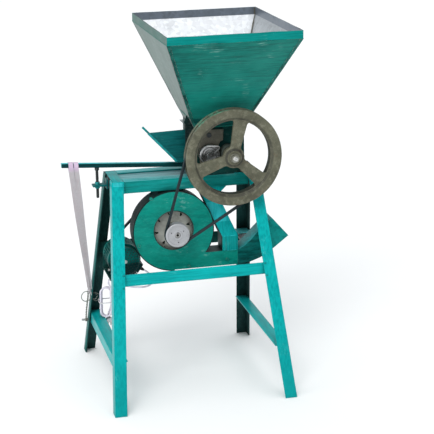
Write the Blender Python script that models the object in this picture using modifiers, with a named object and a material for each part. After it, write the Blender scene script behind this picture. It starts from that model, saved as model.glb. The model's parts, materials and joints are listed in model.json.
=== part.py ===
"""Belt-driven twin-roll grain huller with a winnowing fan on an angle-iron stand.

Metres, +Z up, +X to the right along the front, +Y to the rear. The origin is on the floor under the middle of the
machine. All positions below are measured from the stand's own centre; the empty at the end shifts them as one.
"""

import math

import bmesh
import bpy
from mathutils import Matrix, Vector

for old in list(bpy.data.objects):
    bpy.data.objects.remove(old, do_unlink=True)

# ---- driving dimensions (metres) ----
SHIFT_X = 0.0290  # stand centre to the middle of the whole machine
GAP = 0.0003  # between pieces that touch
TABLE_H = 0.718
TOP_HALF = (0.250, 0.080)  # outer corners of the stand at the table
FOOT_HALF = (0.306, 0.320)  # and on the floor
ANGLE = 0.040  # angle iron, leg width
WALL = 0.004  # angle iron, thickness

MAIN = (0.140, 0.793)  # x, z of the fixed roll's shaft
ROLL = (0.074, 0.793)  # x, z of the movable roll's shaft
PIVOT = (0.0755, 0.856)  # x, z of the swing frame's pivot
FAN = (-0.052, 0.546)  # x, z of the fan shaft
MOTOR = (-0.201, 0.424)  # x, z of the motor shaft
ROLL_R = 0.0325
ROLL_HALF = 0.060
MAIN_R = 0.0125
WHEEL_R = 0.160
BELT_Y = -0.150  # plane of the front belt
WHEEL_PITCH = 0.152
FAN_PITCH = 0.038
REAR_BELT_Y = 0.136
FAN_REAR_PITCH = 0.055
MOTOR_PITCH = 0.035
FAN_R = 0.134
FAN_FRONT = -0.100
FAN_BACK = -0.030
GEAR_MODULE = 0.002
TEETH_FAST = 30
TEETH_SLOW = 36
CORD_R = 0.003

machine = bpy.data.collections.new("grain_huller")
cutters = bpy.data.collections.new("cutters")
bpy.context.scene.collection.children.link(machine)
bpy.context.scene.collection.children.link(cutters)

MATERIALS = {}
for mat_name, rgb, rough, metal in (
    ("teal_paint", (0.01, 0.42, 0.42), 0.4, 0.0),
    ("green_paint", (0.01, 0.22, 0.18), 0.45, 0.0),
    ("cast_iron", (0.17, 0.16, 0.11), 0.6, 0.4),
    ("galvanised", (0.6, 0.62, 0.62), 0.4, 0.9),
    ("aluminium", (0.65, 0.65, 0.68), 0.35, 1.0),
    ("steel", (0.45, 0.45, 0.45), 0.35, 1.0),
    ("black_rubber", (0.02, 0.02, 0.025), 0.6, 0.0),
    ("motor_paint", (0.01, 0.06, 0.05), 0.5, 0.2),
    ("pink_rubber", (0.7, 0.55, 0.58), 0.5, 0.0),
    ("white_cable", (0.75, 0.72, 0.8), 0.5, 0.0),
    ("grey_plastic", (0.35, 0.36, 0.36), 0.5, 0.0),
    ("black_paint", (0.01, 0.012, 0.012), 0.5, 0.0),
):
    made = bpy.data.materials.new(mat_name)
    made.use_nodes = True
    shader = made.node_tree.nodes["Principled BSDF"]
    shader.inputs["Base Color"].default_value = (*rgb, 1.0)
    shader.inputs["Roughness"].default_value = rough
    shader.inputs["Metallic"].default_value = metal
    MATERIALS[mat_name] = made

root = bpy.data.objects.new("machine_root", None)
root.location = (SHIFT_X, 0.0, 0.0)
machine.objects.link(root)


def axis_empty(name, where, parent=None):
    obj = bpy.data.objects.new(name, None)
    obj.location = where
    obj.parent = parent or root
    machine.objects.link(obj)
    return obj


def place(obj, material=None, parent=None, helper=False):
    """Puts an object in its collection, under its joint's empty or the root, without moving it from its place."""
    for coll in list(obj.users_collection):
        coll.objects.unlink(obj)
    (cutters if helper else machine).objects.link(obj)
    obj.parent = root
    if parent is not None:
        obj.parent = parent
        offset, up = Vector(parent.location), parent.parent
        while up is not None and up is not root:
            offset += Vector(up.location)
            up = up.parent
        obj.matrix_parent_inverse = Matrix.Translation(-offset)
    if helper:
        obj.hide_render = True
        obj.display_type = "WIRE"
    if material:
        obj.data.materials.append(MATERIALS[material])
    return obj


def mesh_object(name, bm):
    bmesh.ops.recalc_face_normals(bm, faces=bm.faces)
    if bm.calc_volume(signed=True) < 0:
        bmesh.ops.reverse_faces(bm, faces=bm.faces)
    mesh = bpy.data.meshes.new(name)
    bm.to_mesh(mesh)
    bm.free()
    return bpy.data.objects.new(name, mesh)


def box(name, low, high, material=None, parent=None, helper=False):
    bm = bmesh.new()
    bmesh.ops.create_cube(bm, size=1.0)
    low, high = Vector(low), Vector(high)
    bmesh.ops.scale(bm, vec=high - low, verts=bm.verts)
    bmesh.ops.translate(bm, vec=(low + high) / 2, verts=bm.verts)
    return place(mesh_object(name, bm), material, parent, helper)


def flat(outline, holes=()):
    """A curve's flat outline with holes, as welded mesh data of unit thickness centred on its plane."""
    curve = bpy.data.curves.new("outline", "CURVE")
    curve.dimensions = "2D"
    curve.fill_mode = "BOTH"
    curve.extrude = 0.5
    for loop in (outline, *holes):
        spline = curve.splines.new("POLY")
        spline.points.add(len(loop) - 1)
        for point, (u, v) in zip(spline.points, loop):
            point.co = (u, v, 0.0, 1.0)
        spline.use_cyclic_u = True
    helper = bpy.data.objects.new("outline", curve)
    bpy.context.scene.collection.objects.link(helper)
    graph = bpy.context.evaluated_depsgraph_get()
    graph.update()
    mesh = bpy.data.meshes.new_from_object(helper.evaluated_get(graph))
    bpy.data.objects.remove(helper, do_unlink=True)
    bpy.data.curves.remove(curve)
    bm = bmesh.new()
    bm.from_mesh(mesh)
    bpy.data.meshes.remove(mesh)
    bmesh.ops.remove_doubles(bm, verts=bm.verts, dist=1e-6)
    return bm


def plate(name, outline, holes, low, high, material=None, parent=None, helper=False, normal="Y"):
    """An outline extruded from low to high along one axis. The outline is (x, z) for Y, (y, z) for X, (x, y) for Z."""
    bm = flat(outline, holes)
    thick, mid = high - low, (low + high) / 2
    basis = {
        "Y": Matrix(((1, 0, 0, 0), (0, 0, thick, mid), (0, 1, 0, 0), (0, 0, 0, 1))),
        "X": Matrix(((0, 0, thick, mid), (1, 0, 0, 0), (0, 1, 0, 0), (0, 0, 0, 1))),
        "Z": Matrix(((1, 0, 0, 0), (0, 1, 0, 0), (0, 0, thick, mid), (0, 0, 0, 1))),
    }[normal]
    bm.transform(basis)
    return place(mesh_object(name, bm), material, parent, helper)


def circle(centre, radius, steps=24, phase=0.0):
    return [
        (centre[0] + radius * math.cos(phase + 2 * math.pi * i / steps), centre[1] + radius * math.sin(phase + 2 * math.pi * i / steps))
        for i in range(steps)
    ]


def rect(u0, v0, u1, v1):
    return [(u0, v0), (u1, v0), (u1, v1), (u0, v1)]


def turned(name, profile, centre, material=None, parent=None, helper=False, steps=24, closed=False):
    """A profile of (radius, y), down its outer side from the rear, turned about the line along Y through centre (x, z)."""
    bm = bmesh.new()
    verts = [bm.verts.new((r, 0.0, y)) for r, y in profile]
    for a, b in zip(verts, verts[1:]):
        bm.edges.new((a, b))
    if closed:
        bm.edges.new((verts[-1], verts[0]))
    mesh = bpy.data.meshes.new(name)
    bm.to_mesh(mesh)
    bm.free()
    obj = bpy.data.objects.new(name, mesh)
    obj.location = (centre[0], 0.0, centre[1])
    obj.rotation_euler = (-math.pi / 2, 0.0, 0.0)
    screw = obj.modifiers.new("turn", "SCREW")
    screw.axis = "Z"
    screw.angle = 2 * math.pi
    screw.steps = screw.render_steps = steps
    screw.use_merge_vertices = True
    screw.merge_threshold = 1e-5
    place(obj, material, parent, helper)
    if parent is not None:
        obj.matrix_parent_inverse = Matrix.Identity(4)
        obj.location = (0.0, 0.0, 0.0)
    return obj


def rod(name, radius, y0, y1, centre, material=None, parent=None, helper=False, steps=24):
    return turned(name, [(0, y1), (radius, y1), (radius, y0), (0, y0)], centre, material, parent, helper, steps)


def ring(name, r0, r1, y0, y1, centre, material=None, parent=None, helper=False, steps=24):
    return turned(name, [(r1, y1), (r1, y0), (r0, y0), (r0, y1)], centre, material, parent, helper, steps, True)


def join(obj, other):
    mod = obj.modifiers.new("join", "BOOLEAN")
    mod.operation = "UNION"
    mod.object = other
    mod.solver = "EXACT"


def cut(obj, other):
    mod = obj.modifiers.new("cut", "BOOLEAN")
    mod.operation = "DIFFERENCE"
    mod.object = other
    mod.solver = "EXACT"


def tube_shell(name, sections, thickness, material, caps=()):
    """An open shell through loops of four corners, thickened inwards."""
    bm = bmesh.new()
    loops = [[bm.verts.new(p) for p in s] for s in sections]
    for a, b in zip(loops, loops[1:]):
        for i in range(len(a)):
            j = (i + 1) % len(a)
            bm.faces.new((a[i], a[j], b[j], b[i]))
    bmesh.ops.recalc_face_normals(bm, faces=bm.faces)
    mesh = bpy.data.meshes.new(name)
    bm.to_mesh(mesh)
    bm.free()
    obj = bpy.data.objects.new(name, mesh)
    place(obj, material)
    solid = obj.modifiers.new("sheet", "SOLIDIFY")
    solid.thickness = thickness
    solid.offset = -1.0
    solid.use_even_offset = True
    return obj


def angle_bar(name, outline, start, end, material="teal_paint"):
    """A section in a level or upright plane, drawn straight from one point to another: the ends stay flat."""
    bm = flat(outline)
    start, end = Vector(start), Vector(end)
    run = end - start
    if abs(run.z) > 0.1:
        basis = Matrix(((1, 0, run.x, 0), (0, 1, run.y, 0), (0, 0, run.z, 0), (0, 0, 0, 1)))
    elif abs(run.x) > abs(run.y):
        basis = Matrix(((0, 0, run.x, 0), (1, 0, run.y, 0), (0, 1, run.z, 0), (0, 0, 0, 1)))
    else:
        basis = Matrix(((1, 0, run.x, 0), (0, 0, run.y, 0), (0, 1, run.z, 0), (0, 0, 0, 1)))
    bm.transform(basis)
    bmesh.ops.translate(bm, vec=(start + end) / 2, verts=bm.verts)
    return place(mesh_object(name, bm), material)


def leg_corner(sx, sy, z):
    t = (TABLE_H - z) / TABLE_H
    return (
        sx * (TOP_HALF[0] + t * (FOOT_HALF[0] - TOP_HALF[0])),
        sy * (TOP_HALF[1] + t * (FOOT_HALF[1] - TOP_HALF[1])),
    )


# ---- joints' empties ----
main_axis = axis_empty("main_axis", (MAIN[0], 0, MAIN[1]))
fan_axis = axis_empty("fan_axis", (FAN[0], 0, FAN[1]))
motor_axis = axis_empty("motor_axis", (MOTOR[0], 0, MOTOR[1]))
swing_axis = axis_empty("swing_axis", (PIVOT[0], 0, PIVOT[1]))
roll_axis = axis_empty("roll_axis", (ROLL[0] - PIVOT[0], 0, ROLL[1] - PIVOT[1]), swing_axis)
gate_axis = axis_empty("gate_axis", (0.10, 0, 0.8775))
screw_axis = axis_empty("screw_axis", (-0.284, 0, 0.70))

# ---- stand ----
for part_name, sx, sy in (
    ("leg_front_left", -1, -1),
    ("leg_front_right", 1, -1),
    ("leg_rear_left", -1, 1),
    ("leg_rear_right", 1, 1),
):
    section = [
        (0, 0),
        (-sx * ANGLE, 0),
        (-sx * ANGLE, -sy * WALL),
        (-sx * WALL, -sy * WALL),
        (-sx * WALL, -sy * ANGLE),
        (0, -sy * ANGLE),
    ]
    foot, top = leg_corner(sx, sy, 0), leg_corner(sx, sy, TABLE_H)
    angle_bar(part_name, section, (*foot, 0.0), (*top, TABLE_H))

RAIL_END = TOP_HALF[0] - ANGLE - GAP
for part_name, sy in (("rail_top_front", -1), ("rail_top_rear", 1)):
    y = sy * TOP_HALF[1]
    section = [
        (y, TABLE_H),
        (y, TABLE_H - ANGLE),
        (y - sy * WALL, TABLE_H - ANGLE),
        (y - sy * WALL, TABLE_H - WALL),
        (y - sy * ANGLE, TABLE_H - WALL),
        (y - sy * ANGLE, TABLE_H),
    ]
    angle_bar(part_name, section, (-RAIL_END, 0, 0), (RAIL_END, 0, 0))
for part_name, sx in (("rail_top_left", -1), ("rail_top_right", 1)):
    x = sx * (TOP_HALF[0] - WALL - GAP)
    inner = sx * (RAIL_END + GAP)
    section = [
        (x, TABLE_H),
        (x, TABLE_H - ANGLE),
        (x - sx * WALL, TABLE_H - ANGLE),
        (x - sx * WALL, TABLE_H - WALL),
        (inner, TABLE_H - WALL),
        (inner, TABLE_H),
    ]
    half = TOP_HALF[1] - WALL - GAP
    angle_bar(part_name, section, (0, -half, 0), (0, half, 0))

LOW_Z = 0.430
low_y = -leg_corner(1, 1, LOW_Z)[1] + WALL * 1.06 + GAP
low_x = leg_corner(1, 1, LOW_Z)[0] - WALL - GAP
section = [
    (low_y, LOW_Z),
    (low_y, LOW_Z - ANGLE),
    (low_y + ANGLE, LOW_Z - ANGLE),
    (low_y + ANGLE, LOW_Z - ANGLE + WALL),
    (low_y + WALL, LOW_Z - ANGLE + WALL),
    (low_y + WALL, LOW_Z),
]
angle_bar("rail_low_front", section, (-low_x, 0, 0), (low_x, 0, 0))
REAR_Z = 0.449
rear_y = leg_corner(1, 1, REAR_Z)[1] - WALL * 1.06 - GAP
rear_x = leg_corner(1, 1, REAR_Z)[0] - WALL - GAP
box("rail_low_rear", (-rear_x, rear_y - 0.005, REAR_Z - ANGLE), (rear_x, rear_y, REAR_Z), "teal_paint")

BRACE_Z = 0.168
for part_name, sx in (("brace_left", -1), ("brace_right", 1)):
    x = sx * (leg_corner(1, 1, BRACE_Z)[0] - WALL - GAP)
    half = leg_corner(1, 1, BRACE_Z)[1] - WALL * 1.06 - GAP
    section = [
        (x, BRACE_Z),
        (x, BRACE_Z - ANGLE),
        (x - sx * WALL, BRACE_Z - ANGLE),
        (x - sx * WALL, BRACE_Z - WALL),
        (x - sx * ANGLE, BRACE_Z - WALL),
        (x - sx * ANGLE, BRACE_Z),
    ]
    angle_bar(part_name, section, (0, -half, 0), (0, half, 0))

plate_top = TABLE_H - WALL - GAP
CHUTE_TOP = rect(0.046, -0.0715, 0.164, 0.0715)
plate(
    "table_plate",
    rect(-0.2411, -0.0756, 0.2411, 0.0756),
    [CHUTE_TOP],
    plate_top - 0.003,
    plate_top,
    "teal_paint",
    normal="Z",
)

# ---- hopper ----
HOP_X = 0.120
HOP_W, HOP_D, HOP_TOP = 0.436, 0.560, 1.215


def level_loop(x0, x1, y0, y1, z):
    return [(x0, y0, z), (x1, y0, z), (x1, y1, z), (x0, y1, z)]


hopper = tube_shell(
    "hopper",
    [
        level_loop(HOP_X - HOP_W / 2, HOP_X + HOP_W / 2, -HOP_D / 2, HOP_D / 2, HOP_TOP),
        level_loop(HOP_X - HOP_W / 2, HOP_X + HOP_W / 2, -HOP_D / 2, HOP_D / 2, HOP_TOP - 0.027),
        level_loop(0.015, 0.222, -0.0815, 0.0815, 0.913),
        level_loop(0.030, 0.1945, -0.0780, 0.0780, 0.8800),
    ],
    0.002,
    "green_paint",
)

# ---- roll chamber ----
CH_X0, CH_X1 = 0.026, 0.197
CH_Z0, CH_Z1 = TABLE_H + GAP, 0.8797
for part_name, y0, y1 in (("chamber_front", -0.078, -0.074), ("chamber_rear", 0.074, 0.078)):
    plate(
        part_name,
        rect(CH_X0, CH_Z0, CH_X1, CH_Z1),
        [
            circle(MAIN, 0.0140),
            rect(ROLL[0] - 0.0175, ROLL[1] - 0.013, ROLL[0] + 0.0125, ROLL[1] + 0.013),
            circle(PIVOT, 0.0083, 16),
            rect(0.0395, 0.7275, 0.0655, 0.7520),
        ],
        y0,
        y1,
        "green_paint",
    )
in_y = 0.0737
chamber_left = plate(
    "chamber_left",
    rect(-in_y, CH_Z0, in_y, 0.8760),
    [rect(-0.0120, 0.7275, 0.0120, 0.7560), rect(-0.038, 0.792, 0.038, 0.858)],
    CH_X0,
    CH_X0 + 0.003,
    "black_paint",
    normal="X",
)
# its front edge is turned round the chamber's corner into a pointed lip, forward of the tray
lip = [(-0.0010, 0.7750), (0.0257, 0.7750), (0.0257, 0.8840), (0.0125, 0.9120), (0.0040, 0.9260), (-0.0010, 0.9080), (-0.0055, 0.9030), (-0.0010, 0.8950)]
join(chamber_left, box("lip_join", (0.0225, -0.0735, 0.7750), (0.0275, -0.0600, 0.8740), helper=True))
join(chamber_left, box("lip_side", (0.0225, -0.0785, 0.7755), (0.0257, -0.0605, 0.8735), helper=True))
join(chamber_left, plate("lip_front", lip, [], -0.0785, -0.0755, helper=True))
plate("chamber_right", rect(-in_y, CH_Z0, in_y, 0.8760), [], CH_X1 - 0.003, CH_X1, "green_paint", normal="X")

tray_side = [(-0.121, 0.868), (-0.028, 0.7625), (0.0257, 0.7625), (0.0257, 0.872)]
tray = plate("side_tray", tray_side, [], -0.050, 0.050, "green_paint")
inner_side = [(-0.1172, 0.8800), (-0.1172, 0.8668), (-0.0270, 0.7645), (0.040, 0.7645), (0.040, 0.8800)]
cut(tray, plate("cut_tray", inner_side, [], -0.048, 0.048, helper=True))
# its mouth falls away towards the rear
mouth = [(-0.0500, 0.8725), (0.0700, 0.8353), (0.0700, 0.9500), (-0.0500, 0.9500)]
cut(tray, plate("cut_mouth", mouth, [], -0.140, 0.040, helper=True, normal="X"))

# ---- main shaft ----
turned(
    "main_shaft",
    [(0, 0.118), (MAIN_R, 0.118), (MAIN_R, -0.1715), (0.008, -0.1715), (0.008, -0.192), (0, -0.192)],
    MAIN,
    "steel",
    main_axis,
    steps=20,
)
ring("fixed_roll", MAIN_R + GAP, ROLL_R, -ROLL_HALF, ROLL_HALF, MAIN, "steel", main_axis, steps=28)
for part_name, y0, y1 in (("main_bearing_front", -0.1060, -0.0783), ("main_bearing_rear", 0.0783, 0.0930)):
    ring(part_name, MAIN_R + 0.0005, 0.028, y0, y1, MAIN, "cast_iron", steps=24)

# wheel: rim with its groove, a web with three openings, and the hub
rim0, rim1 = -0.170, -0.130
wheel = turned(
    "wheel",
    [
        (0.1600, rim1), (0.1600, BELT_Y + 0.0062), (0.1470, BELT_Y + 0.0054), (0.1470, BELT_Y - 0.0054),
        (0.1600, BELT_Y - 0.0062), (0.1600, rim0 + 0.002), (0.1580, rim0), (0.1250, rim0), (0.1235, rim0 + 0.002), (0.1235, rim1),
    ],
    MAIN,
    "cast_iron",
    main_axis,
    steps=56,
    closed=True,
)
SPOKES = [math.radians(a) for a in (78, 198, 318)]


def opening(first, second):
    """The gap between two spokes: straight along each spoke, round along the rim and the hub."""
    pts = []
    half_in, half_out, r_in, r_out = 0.0165, 0.0235, 0.036, 0.1242
    lo, hi = first + math.asin(half_out / r_out), second - math.asin(half_out / r_out)
    pts += [(r_out * math.cos(lo + (hi - lo) * i / 12), r_out * math.sin(lo + (hi - lo) * i / 12)) for i in range(13)]
    lo, hi = second - math.asin(half_in / r_in), first + math.asin(half_in / r_in)
    pts += [(r_in * math.cos(lo + (hi - lo) * i / 4), r_in * math.sin(lo + (hi - lo) * i / 4)) for i in range(5)]
    return [(MAIN[0] + u, MAIN[1] + v) for u, v in pts]


turns = SPOKES + [SPOKES[0] + 2 * math.pi]
web = plate(
    "web",
    circle(MAIN, 0.1300, 48),
    [opening(turns[i], turns[i + 1]) for i in range(3)],
    -0.1625,
    -0.1505,
    helper=True,
)
hub = rod("hub", 0.0245, -0.1712, -0.1120, MAIN, helper=True, steps=28)
bore = rod("hub_bore", MAIN_R + GAP, -0.20, -0.09, MAIN, helper=True, steps=20)
join(wheel, web)
join(wheel, hub)
cut(wheel, bore)
plate("wheel_nut", circle(MAIN, 0.0155, 6, 0.2), [circle(MAIN, 0.0083, 20)], -0.1850, -0.1715 - GAP, "steel", main_axis)


def gear_outline(centre, teeth, phase):
    """Straight-flanked teeth on a pitch circle; phase is the angle of one tooth's middle."""
    pitch = GEAR_MODULE * teeth / 2
    pts = []
    for i in range(teeth):
        mid = phase + 2 * math.pi * i / teeth
        step = 2 * math.pi / teeth
        for off, r in ((-0.29, pitch - 0.0025), (-0.11, pitch + 0.0018), (0.11, pitch + 0.0018), (0.29, pitch - 0.0025)):
            pts.append((centre[0] + r * math.cos(mid + off * step), centre[1] + r * math.sin(mid + off * step)))
    return pts


plate(
    "gear_fast", gear_outline(MAIN, TEETH_FAST, math.pi), [circle(MAIN, MAIN_R + GAP, 20)], 0.0975, 0.1135, "steel", main_axis
)
plate(
    "gear_slow",
    gear_outline(ROLL, TEETH_SLOW, math.pi / TEETH_SLOW),
    [circle(ROLL, 0.0103, 20)],
    0.0975,
    0.1135,
    "steel",
    roll_axis,
)
rod("movable_roll_shaft", 0.0100, -0.1085, 0.1180, ROLL, "steel", roll_axis, steps=20)
ring("movable_roll", 0.0103, ROLL_R, -ROLL_HALF, ROLL_HALF, ROLL, "black_rubber", roll_axis, steps=28)

# ---- swing frame: two arms, cross bar and lever ----
rod("pivot_shaft", 0.0080, -0.0930, 0.0930, PIVOT, "steel", steps=20)


def arm_outline():
    pts = [(0.046, 0.8725), (0.044, 0.835)]
    pts += [(ROLL[0] + 0.034 * math.cos(a), ROLL[1] + 0.034 * math.sin(a)) for a in [math.radians(150 + 15 * i) for i in range(5)]]
    pts += [(0.0485, 0.7285), (0.0660, 0.7285)]
    pts += [(ROLL[0] + 0.034 * math.cos(a), ROLL[1] + 0.034 * math.sin(a)) for a in [math.radians(-60 + 15 * i) for i in range(7)]]
    pts += [(0.112, 0.832), (0.122, 0.8365), (0.124, 0.8725)]
    return pts


for part_name, y0, y1 in (("arm_front", -0.0905, -0.0785), ("arm_rear", 0.0785, 0.0905)):
    plate(part_name, arm_outline(), [circle(PIVOT, 0.0083, 20), circle(ROLL, 0.0103, 20)], y0, y1, "cast_iron", swing_axis)
ring("roll_bearing_front", 0.0103, 0.0335, -0.1045, -0.0905 - GAP, ROLL, "aluminium", swing_axis, steps=28).location = (
    ROLL[0] - PIVOT[0],
    0,
    ROLL[1] - PIVOT[1],
)

LEVER_L, LEVER_R = (-0.4010, 0.7683), (0.0500, 0.7400)
bar_top = [(LEVER_L[0], LEVER_L[1] - 0.007), (LEVER_R[0], LEVER_R[1] - 0.007), (LEVER_R[0], LEVER_R[1] + 0.007), (LEVER_L[0], LEVER_L[1] + 0.007)]
lever = plate("lever", bar_top, [], -0.008, 0.008, "teal_paint", swing_axis)
join(lever, box("cross_bar", (0.0490, -0.0782, 0.7325), (0.0630, 0.0782, 0.7465), helper=True))


def lever_z(x):
    return LEVER_L[1] + (x - LEVER_L[0]) / (LEVER_R[0] - LEVER_L[0]) * (LEVER_R[1] - LEVER_L[1])


# ---- stop screw and its bracket ----
STOP_X = -0.284
stop_top = lever_z(STOP_X) - 0.007 - 0.0012
bracket = plate(
    "stop_bracket",
    rect(-0.3010, -0.014, -0.2500 - GAP, 0.014),
    [circle((STOP_X, 0), 0.0054, 16)],
    0.6900,
    0.6960,
    "teal_paint",
    normal="Z",
)
join(bracket, box("bracket_lug", (-0.2560, -0.014, 0.6805), (-0.2500 - GAP, 0.014, 0.7130), helper=True))
head = flat(circle((STOP_X, 0), 0.0082, 6))
head.transform(Matrix(((1, 0, 0, 0), (0, 1, 0, 0), (0, 0, 0.008, stop_top - 0.010), (0, 0, 0, 1))))
stem = flat(circle((STOP_X, 0), 0.0050, 16))
stem.transform(Matrix(((1, 0, 0, 0), (0, 1, 0, 0), (0, 0, stop_top - 0.6500, (stop_top + 0.6500) / 2), (0, 0, 0, 1))))
stop_screw = place(mesh_object("stop_screw", stem), "black_paint", screw_axis)
join(stop_screw, place(mesh_object("stop_head", head), helper=True))

# ---- elastic band, wire tie and the pin through the rear left leg ----
PIN_Y, PIN_Z = 0.2550, 0.1350
band_x = -0.362
z_at = lever_z(band_x)
wrap = plate(
    "elastic_band",
    rect(-0.0113, z_at - 0.0113, 0.0113, z_at + 0.0113),
    [rect(-0.0085, z_at - 0.0087, 0.0085, z_at + 0.0087)],
    band_x - 0.014,
    band_x + 0.014,
    "pink_rubber",
    normal="X",
)
KNOT = Vector((-0.2930, 0.2130, 0.2640))
low_end = Vector((band_x, 0.0, z_at - 0.0100))
run = KNOT - low_end
side = Vector((1, 0, 0)) - run.normalized() * run.normalized().x
side.normalize()
thick = run.cross(side).normalized()
strands = flat([(-0.0135, 0.0), (0.0135, 0.0), (0.0060, 1.0), (-0.0060, 1.0)], [[(-0.0035, 0.03), (0.0035, 0.03), (0.0008, 0.90), (-0.0008, 0.90)]])
strands.transform(
    Matrix(
        (
            (side.x, run.x, thick.x * 0.003, low_end.x),
            (side.y, run.y, thick.y * 0.003, low_end.y),
            (side.z, run.z, thick.z * 0.003, low_end.z),
            (0, 0, 0, 1),
        )
    )
)
join(wrap, place(mesh_object("strands", strands), helper=True))

pin_hole = rod("pin_hole", 0.0045, -0.05, 0.05, (0, 0), helper=True, steps=16)
pin_hole.location = (-0.29, PIN_Y, PIN_Z)
pin_hole.rotation_euler = (0, math.pi / 2, 0)
cut(bpy.data.objects["leg_rear_left"], pin_hole)
cut(bpy.data.objects["brace_left"], pin_hole)
pin = rod("band_pin", 0.0040, -0.0290, 0.0290, (0, 0), "steel", steps=12)
pin.location = (-0.2900, PIN_Y, PIN_Z)
pin.rotation_euler = (0, math.pi / 2, 0)


def smooth_path(points, count, cyclic=False):
    """Evenly parted points on a Catmull-Rom curve through the given ones."""
    pts = [Vector(p) for p in points]
    ends = [pts[-1], *pts, pts[0], pts[1]] if cyclic else [2 * pts[0] - pts[1], *pts, 2 * pts[-1] - pts[-2]]
    dense = []
    for i in range(len(ends) - 3):
        a, b, c, d = ends[i : i + 4]
        for k in range(24):
            t = k / 24
            dense.append(
                0.5 * ((2 * b) + (c - a) * t + (2 * a - 5 * b + 4 * c - d) * t * t + (3 * b - a - 3 * c + d) * t**3)
            )
    if not cyclic:
        dense.append(pts[-1])
    else:
        dense.append(dense[0])
    lengths = [0.0]
    for p, q in zip(dense, dense[1:]):
        lengths.append(lengths[-1] + (q - p).length)
    out, k = [], 0
    for i in range(count):
        want = lengths[-1] * i / (count if cyclic else count - 1)
        while k < len(lengths) - 2 and lengths[k + 1] < want:
            k += 1
        span = lengths[k + 1] - lengths[k]
        out.append(dense[k].lerp(dense[k + 1], (want - lengths[k]) / span if span else 0))
    return out


def wire(name, points, radius, material, resolution=1, cyclic=False):
    curve = bpy.data.curves.new(name, "CURVE")
    curve.dimensions = "3D"
    curve.bevel_depth = radius
    curve.bevel_resolution = resolution
    curve.use_fill_caps = True
    spline = curve.splines.new("POLY")
    spline.points.add(len(points) - 1)
    for point, co in zip(spline.points, points):
        point.co = (*co, 1.0)
    spline.use_cyclic_u = cyclic
    obj = bpy.data.objects.new(name, curve)
    return place(obj, material)


# a closed wire loop from the band's end down round the pin
tie = smooth_path(
    [
        (-0.2990, 0.2150, 0.2520),
        (-0.2960, 0.2180, 0.2380),
        (-0.3040, 0.2300, 0.1900),
        (-0.3040, 0.2478, 0.1350),
        (-0.3040, 0.2550, 0.1276),
        (-0.3040, 0.2624, 0.1350),
        (-0.3060, 0.2400, 0.1900),
        (-0.3080, 0.2200, 0.2380),
        (-0.3050, 0.2150, 0.2520),
    ],
    36,
    True,
)
wire("wire_tie", tie, 0.0016, "steel", 1, True)

# ---- fan ----
DUCT_X, DUCT_TOP = 0.165, 0.460
FAN_LOW = FAN[1] - 0.003 - FAN_R


def p_outline(inset):
    """The fan casing's outline: a circle with a level duct leaving to the right at its foot."""
    radius, cz = FAN_R - inset, FAN[1] - 0.003
    top = DUCT_TOP - inset
    meet = math.asin((top - cz) / radius)
    end = DUCT_X if inset == 0 else DUCT_X + 0.02
    pts = [(end, cz - radius)]
    for i in range(41):
        a = -math.pi / 2 - i / 40 * (3 * math.pi / 2 - (meet + math.pi / 2) + math.pi / 2)
        pts.append((FAN[0] + radius * math.cos(a), cz + radius * math.sin(a)))
    pts.append((end, top))
    return pts


plate("fan_front", p_outline(0), [circle(FAN, 0.0650, 32)], FAN_FRONT, FAN_FRONT + 0.002, "green_paint")
scroll = plate("fan_scroll", p_outline(0), [], FAN_FRONT + 0.002 + GAP, FAN_BACK, "green_paint")
cut(scroll, plate("cut_scroll", p_outline(0.002), [], FAN_FRONT - 0.02, FAN_BACK - 0.002, helper=True))
cut(scroll, rod("cut_shaft", 0.0120, -0.05, 0.0, FAN, helper=True, steps=20))
cut(scroll, box("cut_chute", (0.1160, -0.0955, 0.445), (0.1620, -0.0420, 0.475), helper=True))

VANES = 8
star = []
for k in range(VANES):
    mid = 2 * math.pi * k / VANES + 0.2
    for off, r in ((-0.0040, 0.0200), (-0.0012, 0.1150), (0.0012, 0.1150), (0.0040, 0.0200)):
        a = mid + math.atan2(off, r)
        star.append((FAN[0] + r * math.cos(a), FAN[1] + r * math.sin(a)))
impeller = plate("impeller", star, [circle(FAN, 0.0093, 16)], -0.0935, -0.0415, "galvanised", fan_axis)
join(impeller, plate("impeller_disc", circle(FAN, 0.1160, 40), [circle(FAN, 0.0120, 16)], -0.0430, -0.0405, helper=True))
turned("fan_shaft", [(0, 0.150), (0.009, 0.150), (0.009, -0.1600), (0, -0.1600)], FAN, "steel", fan_axis, steps=20)


def pulley(name, outer, pitch, y, centre, bore_r, parent, front, back, material="aluminium"):
    turned(
        name,
        [
            (outer, back), (outer, y + 0.0062), (pitch - 0.005, y + 0.0054), (pitch - 0.005, y - 0.0054),
            (outer, y - 0.0062), (outer, front + 0.0015), (outer - 0.0015, front), (bore_r, front), (bore_r, back),
        ],
        centre,
        material,
        parent,
        steps=32,
        closed=True,
    )


pulley("fan_pulley", 0.0400, FAN_PITCH, BELT_Y, FAN, 0.0093, fan_axis, -0.1640, -0.1370)
pulley("fan_rear_pulley", 0.0590, FAN_REAR_PITCH, REAR_BELT_Y, FAN, 0.0093, fan_axis, 0.1240, 0.1480, "cast_iron")
hanger = plate(
    "fan_hanger",
    [(-0.092, 0.7130), (-0.092, 0.6700), (-0.082, 0.5350), (-0.072, 0.5150), (-0.032, 0.5150), (-0.022, 0.5350), (-0.012, 0.6700), (-0.012, 0.7130)],
    [circle(FAN, 0.0120, 20)],
    0.0803,
    0.0863,
    "teal_paint",
)
join(hanger, ring("bearing_boss", 0.0098, 0.0250, 0.0850, 0.1080, FAN, helper=True))
join(scroll, ring("bearing_housing", 0.0098, 0.0280, FAN_BACK - 0.0010, -0.0060, FAN, helper=True))
join(scroll, box("top_bracket", (-0.095, -0.0700, 0.6700), (-0.010, -0.0660, plate_top - 0.003 - GAP), helper=True))

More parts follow.
